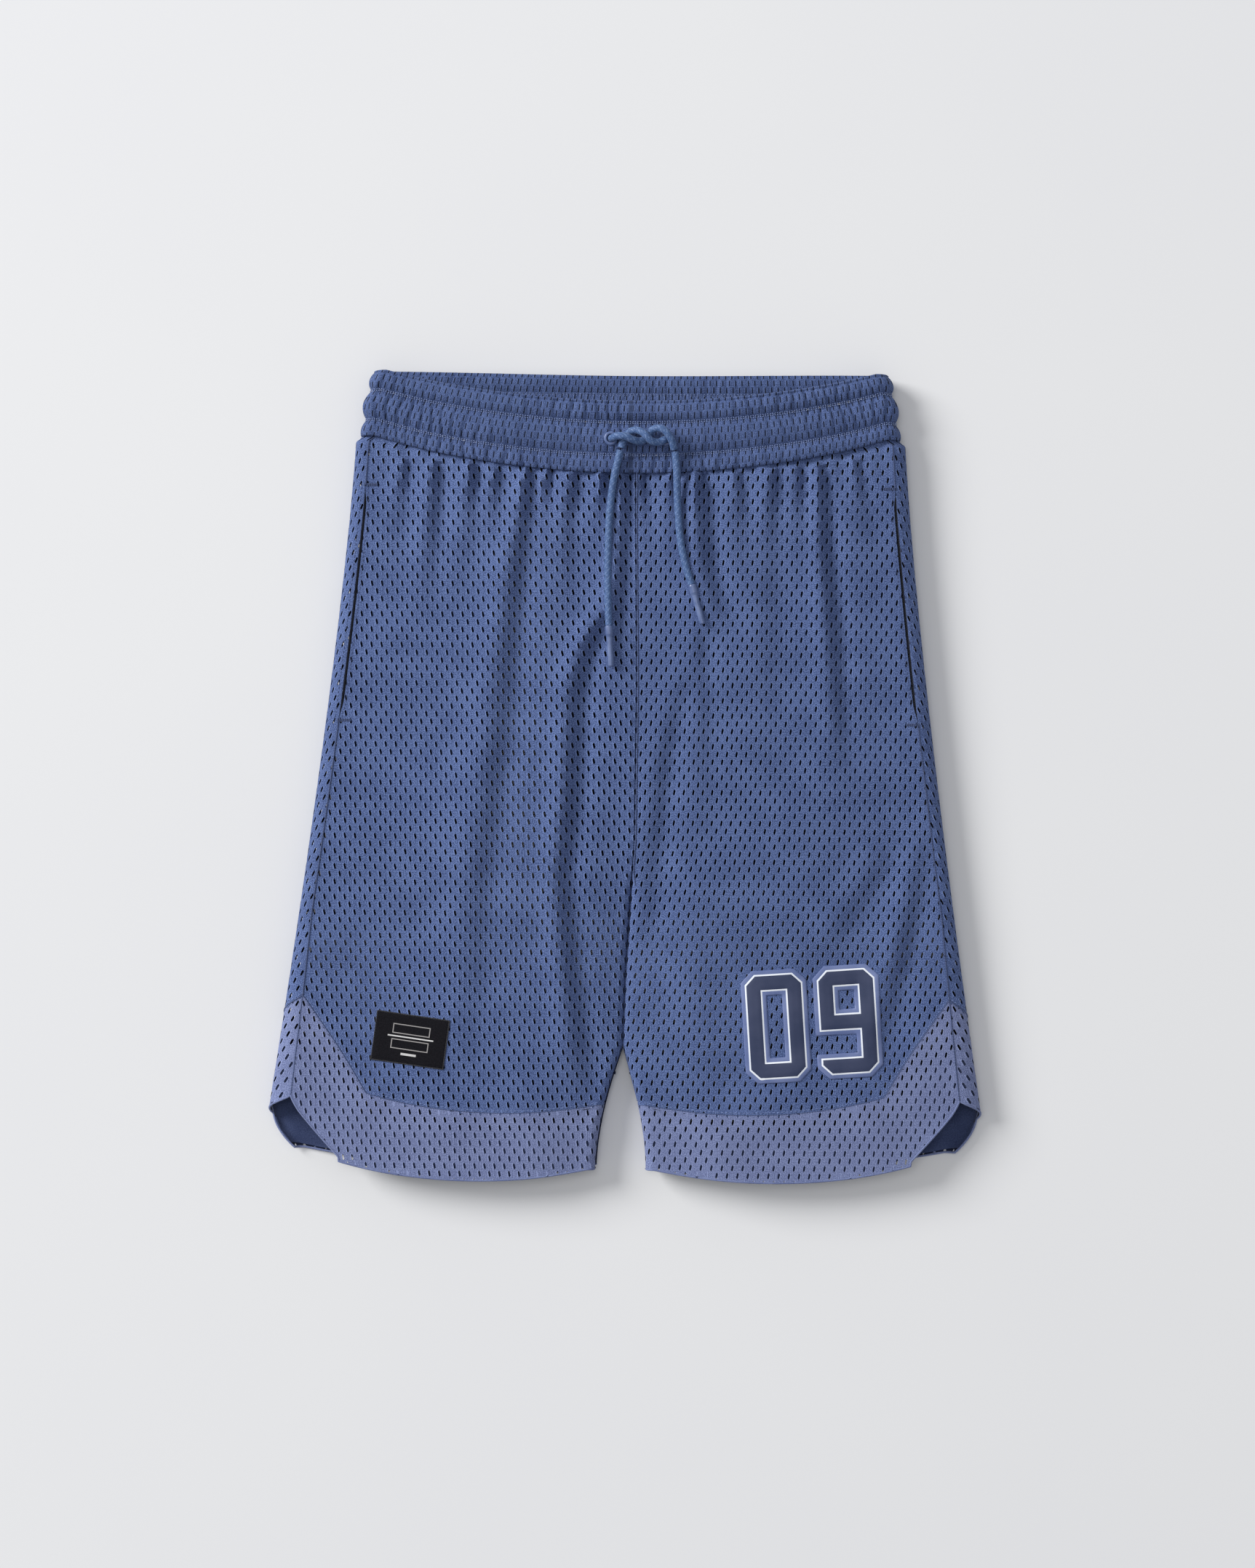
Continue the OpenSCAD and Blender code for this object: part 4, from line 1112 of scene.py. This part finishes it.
def stitch_row(name, runs, length, gap, width, zigzag, material):
    """Stitches along several runs of points, made into one piece."""
    points, ups = (np.concatenate([r[k] for r in runs]) for k in (0, 1))
    edges, start = [], 0
    for line, _ in runs:
        edges += [(start + i, start + i + 1) for i in range(len(line) - 1)]
        start += len(line)
    mesh = bpy.data.meshes.new(name)
    mesh.from_pydata([tuple(p) for p in points * MM], edges, [])
    up = mesh.attributes.new("up", "FLOAT_VECTOR", "POINT")
    up.data.foreach_set("vector", ups.astype(np.float32).ravel())
    piece = bpy.data.objects.new(name, mesh)
    bpy.context.collection.objects.link(piece)
    stitches.use(piece, Length=length * MM, Gap=gap * MM, Width=width * MM, Zigzag=math.radians(zigzag), Weld=1e-6,
                 Material=material)
    settle(piece)
    piece.data.polygons.foreach_set("use_smooth", np.ones(len(piece.data.polygons), bool))
    trim.append(piece)
    return piece


def band_rows(d, turn=1):
    """The two doubled rows round the waistband, d out from its even face."""
    rows = []
    for t in (row + offset for row in ROWS[1:-1] for offset in (-0.012, 0.012)):
        points, ups = band_place(loop_s, loop_side, np.full(len(loop_s), t), np.full(len(loop_s), d))
        rows.append((np.concatenate([points, points[:1]]), turn * np.concatenate([ups, ups[:1]])))
    return rows


def panel_rows():
    """Runs for the hem's topstitching, for the seams, and for the two edges of each pocket mouth."""
    hem, seams, mouths = [], [], []
    for _, side in SIDES:
        for s, line, sunk in ((np.linspace(0, 1, 160), band_front, 0.10), (np.linspace(1, 3, 200), band_back, 0.05)):
            hem.append(surface_line(s, line(s) + 1.6, side, 0.12))
            seams.append(surface_line(s, line(s), side, sunk))
        y = np.linspace(SEAM_SIDE, VENT, 220)
        for part in (y[y < POCKET_LOW], y[y > POCKET_TOP]):
            seams.append(surface_line(np.ones(len(part)), part, side, 0.2))
        y = np.linspace(POCKET_TOP, POCKET_LOW, 80)
        reach = place_on(front_table, length_at(front_table, np.ones_like(y), y) - pocket_gap(y) - 1.6, y)
        mouths += [surface_line(reach, y, side, 0.1), surface_line(np.full_like(y, 1.09), y, side, 0.1)]
    y = np.linspace(SEAM_MID, CROTCH, 120)
    seams.append(surface_line(np.full_like(y, -0.12), y, 1, 0.05))
    return hem, seams, mouths


def tack_rows():
    """Five short rows across each end of each pocket mouth."""
    rows = []
    for _, side in SIDES:
        for y in (POCKET_LOW, POCKET_TOP):
            s = np.linspace((fold_x(y) - 7.6) / fold_x(y), 1.02, 12)
            rows += [surface_line(s, np.full_like(s, y - 0.7 + 0.35 * k), side, 0.28) for k in range(5)]
    return rows


hem, seams, mouths = panel_rows()
stitch_row("waist_stitches", band_rows(-0.30), 1.3, 0.3, 0.6, 32, pale_thread)
stitch_row("waist_stitches_inside", band_rows(-4.80, -1), 1.6, 0.6, 0.42, 32, pale_thread)
stitch_row("hem_topstitch", hem, 1.9, 0.9, 0.42, 0, pale_thread)
stitch_row("seam_cord", seams, 2.6, -0.9, 0.95, 0, dark_thread)
stitch_row("pocket_stitches", mouths, 1.8, 0.8, 0.4, 0, dark_thread)
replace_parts(stitch_row("bartacks", tack_rows(), 1.1, 0.05, 0.55, 24, dark_thread), "pocket_bartacks")


# ---- Rolled edges of the hems, the notches and the inner legs

def rolled_edge(name, runs, radius, material, sides=8):
    """Thin tubes along several runs of points, made into one piece."""
    points, faces = [], []
    angle = circle(sides)[:, None]
    for line in runs:
        heading = unit(np.gradient(line, axis=0))
        beside = unit(np.cross(heading, [0.0, 0.0, 1.0]) + [1e-6, 0, 0])
        over = np.cross(beside, heading)
        rings = line[:, None] + radius * (np.cos(angle) * beside[:, None] + np.sin(angle) * over[:, None])
        start, last = len(points), len(points) + (len(line) - 1) * sides
        points += list(rings.reshape(-1, 3))
        faces += [*(grid_faces(len(line), sides, wrap=True) + start), range(start, start + sides),
                  range(last, last + sides)]
    piece = new_piece(name, np.array(points), faces, material)
    outward(piece)
    trim.append(piece)


hem_runs, leg_runs = [], []
for _, side in SIDES:
    for s_from, s_to, hem_of, vent_of, under, vent_under, count in (
            (-0.97, 0.83, hem_front, vent_front, 0.05, 0.05, 40), (3.97, 1.72, hem_back, vent_back, 0.55, 0.4, 50)):
        s, y = np.linspace(s_from, s_to, 130), np.linspace(float(hem_of(s_to)), VENT, count)
        hem_runs.append(np.concatenate([drape(s, hem_of(s), side, under), drape(vent_of(y), y, side, vent_under)[1:]]))
    for runs, y, under in ((leg_runs, np.linspace(CROTCH, LOW + 52, 70), 0.35),
                           (hem_runs, np.linspace(LOW + 51, LOW + 8, 20), 0.3)):
        runs.append(drape(np.full_like(y, -1), y, side, under))
rolled_edge("hem_edge_roll", hem_runs, 0.72, band_edge)
rolled_edge("inner_leg_seam", leg_runs, 0.75, mesh_edge)


# ---- Flat shapes, and layers with two faces

def inside(polygon, x, y):
    hit = np.zeros(len(x), bool)
    for (x0, y0), (x1, y1) in zip(polygon, polygon[1:] + polygon[:1]):
        if y0 != y1:
            hit ^= ((y0 > y) != (y1 > y)) & (x < (x1 - x0) * (y - y0) / (y1 - y0) + x0)
    return hit


def outline_points(polygon, spacing):
    out = []
    for a, b in zip(polygon, polygon[1:] + polygon[:1]):
        n = max(1, round(math.dist(a, b) / spacing))
        out += [(a[0] + (b[0] - a[0]) * k / n, a[1] + (b[1] - a[1]) * k / n) for k in range(n)]
    return out


def filled(loops, x, y):
    """Which points lie in the first loop and in none of the others."""
    good = inside(loops[0], x, y)
    for hole in loops[1:]:
        good &= ~inside(hole, x, y)
    return good


def flat_shape(loops, spacing, rings=()):
    """Triangles that fill the first loop less the others. Returns points, triangles and each point's loop or -1."""
    points, edges, owner = [], [], []
    for k, loop in enumerate([*loops, *rings]):
        dense = outline_points(loop, spacing)
        n = len(points)
        edges += [(n + i, n + (i + 1) % len(dense)) for i in range(len(dense))]
        points += dense
        owner += [k] * len(dense)
    p = np.array(points)
    gx, gy = (g.ravel() for g in np.meshgrid(*(np.arange(p[:, i].min() + spacing / 2, p[:, i].max(), spacing)
                                               for i in (0, 1))))
    clear = np.array([np.hypot(p[:, 0] - a, p[:, 1] - b).min() for a, b in zip(gx, gy)]) > spacing * 0.45
    ok = filled(loops, gx, gy) & clear
    points += list(zip(gx[ok], gy[ok]))
    verts, _, faces, origin, _, _ = geometry.delaunay_2d_cdt([Vector(q) for q in points], edges, [], 0, 1e-5)
    v, f = np.array([tuple(q) for q in verts]), np.array(faces)
    c = v[f].mean(1)
    own = np.array([min([owner[i] for i in o if i < len(owner)], default=-1) for o in origin])
    return v, f[filled(loops, c[:, 0], c[:, 1])], own


def two_sided(name, upper, lower, f, material, uv=None):
    """A closed layer: triangles f over the upper points and under the lower ones, with a wall round them."""
    n = len(upper)
    edges = {(t[i], t[(i + 1) % 3]) for t in f.tolist() for i in range(3)}
    wall = [(b, a, a + n, b + n) for a, b in sorted(edges) if (b, a) not in edges]
    piece = new_piece(name, np.concatenate([upper, lower]), [*f, *(f[:, ::-1] + n), *wall], material,
                      None if uv is None else np.concatenate([uv, uv]))
    outward(piece)
    trim.append(piece)
    return piece


# ---- Pocket bags

def pocket_bag(word, side):
    low, top = fold_x(POCKET_LOW), fold_x(POCKET_TOP)
    shape = [(89, 192), (92, 196), (top - 8, 196), (top - 1, POCKET_TOP), (low - 1, POCKET_LOW), (low - 8, 3),
             (low - 36, -25), (100, -26), (90, -15)]
    v, f, _ = flat_shape([shape], 5)
    x, y = v.T
    edge = np.array(outline_points(shape, 3))
    full = smooth(np.array([np.hypot(*(edge - q).T).min() for q in v]) / 22)
    wave = 0.4 * np.sin(x * 0.16 + y * 0.05) * full
    piece = two_sided("pocket_bag_" + word, np.stack([side * x, y, 9.2 + 3.6 * full + wave], -1),
                      np.stack([side * x, y, 8.6 - 3.6 * full + wave * 0.5], -1), f, facing_cloth)
    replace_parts(piece, "pocket_bag_back_" + word, "pocket_bag_front_" + word, "pocket_bag_edge_" + word)


def pocket_lining(word, side):
    """The two strips that lead from the slit down to the bag."""
    y = np.linspace(POCKET_LOW + 1, POCKET_TOP - 1, 60)
    edge = half_width(y) - FOLD_R
    t = np.linspace(0, 1, 7)[:, None]
    for which, at, drift, down in (("front", -pocket_gap(y) - 0.3, 3.4, 10.4), ("back", 0.2 + 0 * y, 1.2, 9.3)):
        x = edge + at - drift * t
        z = mix(front_z(edge + at, y) - 0.5, down, t)
        strip = np.stack([side * x, np.broadcast_to(y, x.shape), z], -1).reshape(-1, 3)
        name = "pocket_lining_%s_%s" % (which, word)
        trim.append(thicken(new_piece(name, strip, grid_faces(7, 60), facing_cloth), LINING))
        outward(trim[-1])


for word, side in SIDES:
    pocket_bag(word, side)
    pocket_lining(word, side)


# ---- Numerals and patch: thin layers over the cloth

def laid_over(x, y, lift):
    """The points x, y, lifted off the front of the laid cloth."""
    side = np.sign(x)
    reach = np.abs(x - lean(x, y))
    r, ix = inner_r(y), inner_x(y)
    s = (reach - ix - r) / (half_width(y) - FOLD_R - ix - r)
    return np.stack([x, y, drape(s, y, side)[:, 2] + lift], -1)


def turned(points, place):
    """Points turned by the angle of place and moved to its x and y."""
    c, s = math.cos(math.radians(place[2])), math.sin(math.radians(place[2]))
    return place[0] + points[:, 0] * c - points[:, 1] * s, place[1] + points[:, 0] * s + points[:, 1] * c


def numeral_loops(digit, g):
    """Outline and hole of a block digit, grown by g."""
    w, h, t, k = 18, 33.5, 9.5, 6 - g / 2           # half width, half height, stroke and cut corner
    ring = [(-w - g, -h + k), (-w + k, -h - g), (w - k, -h - g), (w + g, -h + k), (w + g, h - k), (w - k, h + g),
            (-w + k, h + g), (-w - g, h - k)]
    left, right, high = -w + t + g, w - t - g, h - t - g
    foot = -high if digit == "zero" else t / 2 + g
    if digit == "nine":
        ring += [(-w - g, -foot), (right, -foot), (right, -high), (-w - g, -high)]
    return [ring, [(left, foot), (right, foot), (right, high), (left, high)]]


def rectangle(w, h):
    return [(-w, -h), (w, -h), (w, h), (-w, h)]


def raised_layer(name, loops, inner, place, base, tall, material, weave=False):
    """A layer with rounded shoulders: loops is its outline and holes, inner the same set in a little."""
    v, f, own = flat_shape(loops, 2.6, inner)
    x, y = turned(v, place)
    on_rim = (own >= 0) & (own < len(loops))
    piece = two_sided(name, laid_over(x, y, base + np.where(on_rim, tall * 0.45, tall)),
                      laid_over(x, y, base - 0.15), f, material, v if weave else None)
    piece.data.set_sharp_from_angle(angle=math.radians(60))
    return piece


for tag, digit, place in (("a", "zero", (98, -162, 4)), ("b", "nine", (145, -158.5, 4))):
    for part, grow, base, tall, material in (
            ("border", 3.5, 0.1, 0.75, print_border), ("outline", 1.1, 0.5, 0.55, print_white),
            ("face", 0.0, 0.75, 0.5, print_navy)):
        layer = raised_layer("numeral_%s_%s_film" % (tag, part), numeral_loops(digit, grow),
                             numeral_loops(digit, grow - 0.7), place, base, tall, material)
        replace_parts(layer, "numeral_%s_%s" % (tag, part))

PATCH = (-140.5, -173, -7.5)
patch_edge = rectangle(23.75, 16)
patch = raised_layer("woven_patch_cloth", [patch_edge], [rectangle(23.1, 15.35)], PATCH, 0.15, 0.5, patch_cloth,
                     weave=True)
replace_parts(patch, "woven_patch")
line = laid_over(*turned(np.array(outline_points(patch_edge, 1.5) + patch_edge[:1]), PATCH), 0.45)
stitch_row("patch_edge", [(line, np.tile([0.0, 0, 1], (len(line), 1)))], 1.1, -0.25, 0.9, 62, black_thread)


# ---- Finishes on the parts that stay as they were designed

for node, material in (("eyelet_left", eyelet_enamel), ("eyelet_right", eyelet_enamel), ("aglet_left", dipped_tip),
                       ("aglet_right", dipped_tip), ("eyelet_washers", washer_steel)):
    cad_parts[node].data.materials.clear()
    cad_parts[node].data.materials.append(material)


# ---- Bodies and declarations

for piece in [*sheets.values(), *trim]:
    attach(piece, "shorts")
for word, (piece, line) in tails.items():
    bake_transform(piece)
    route = [tuple(p) for p in (line[::6] * MM)] + [tuple(line[-1] * MM)]
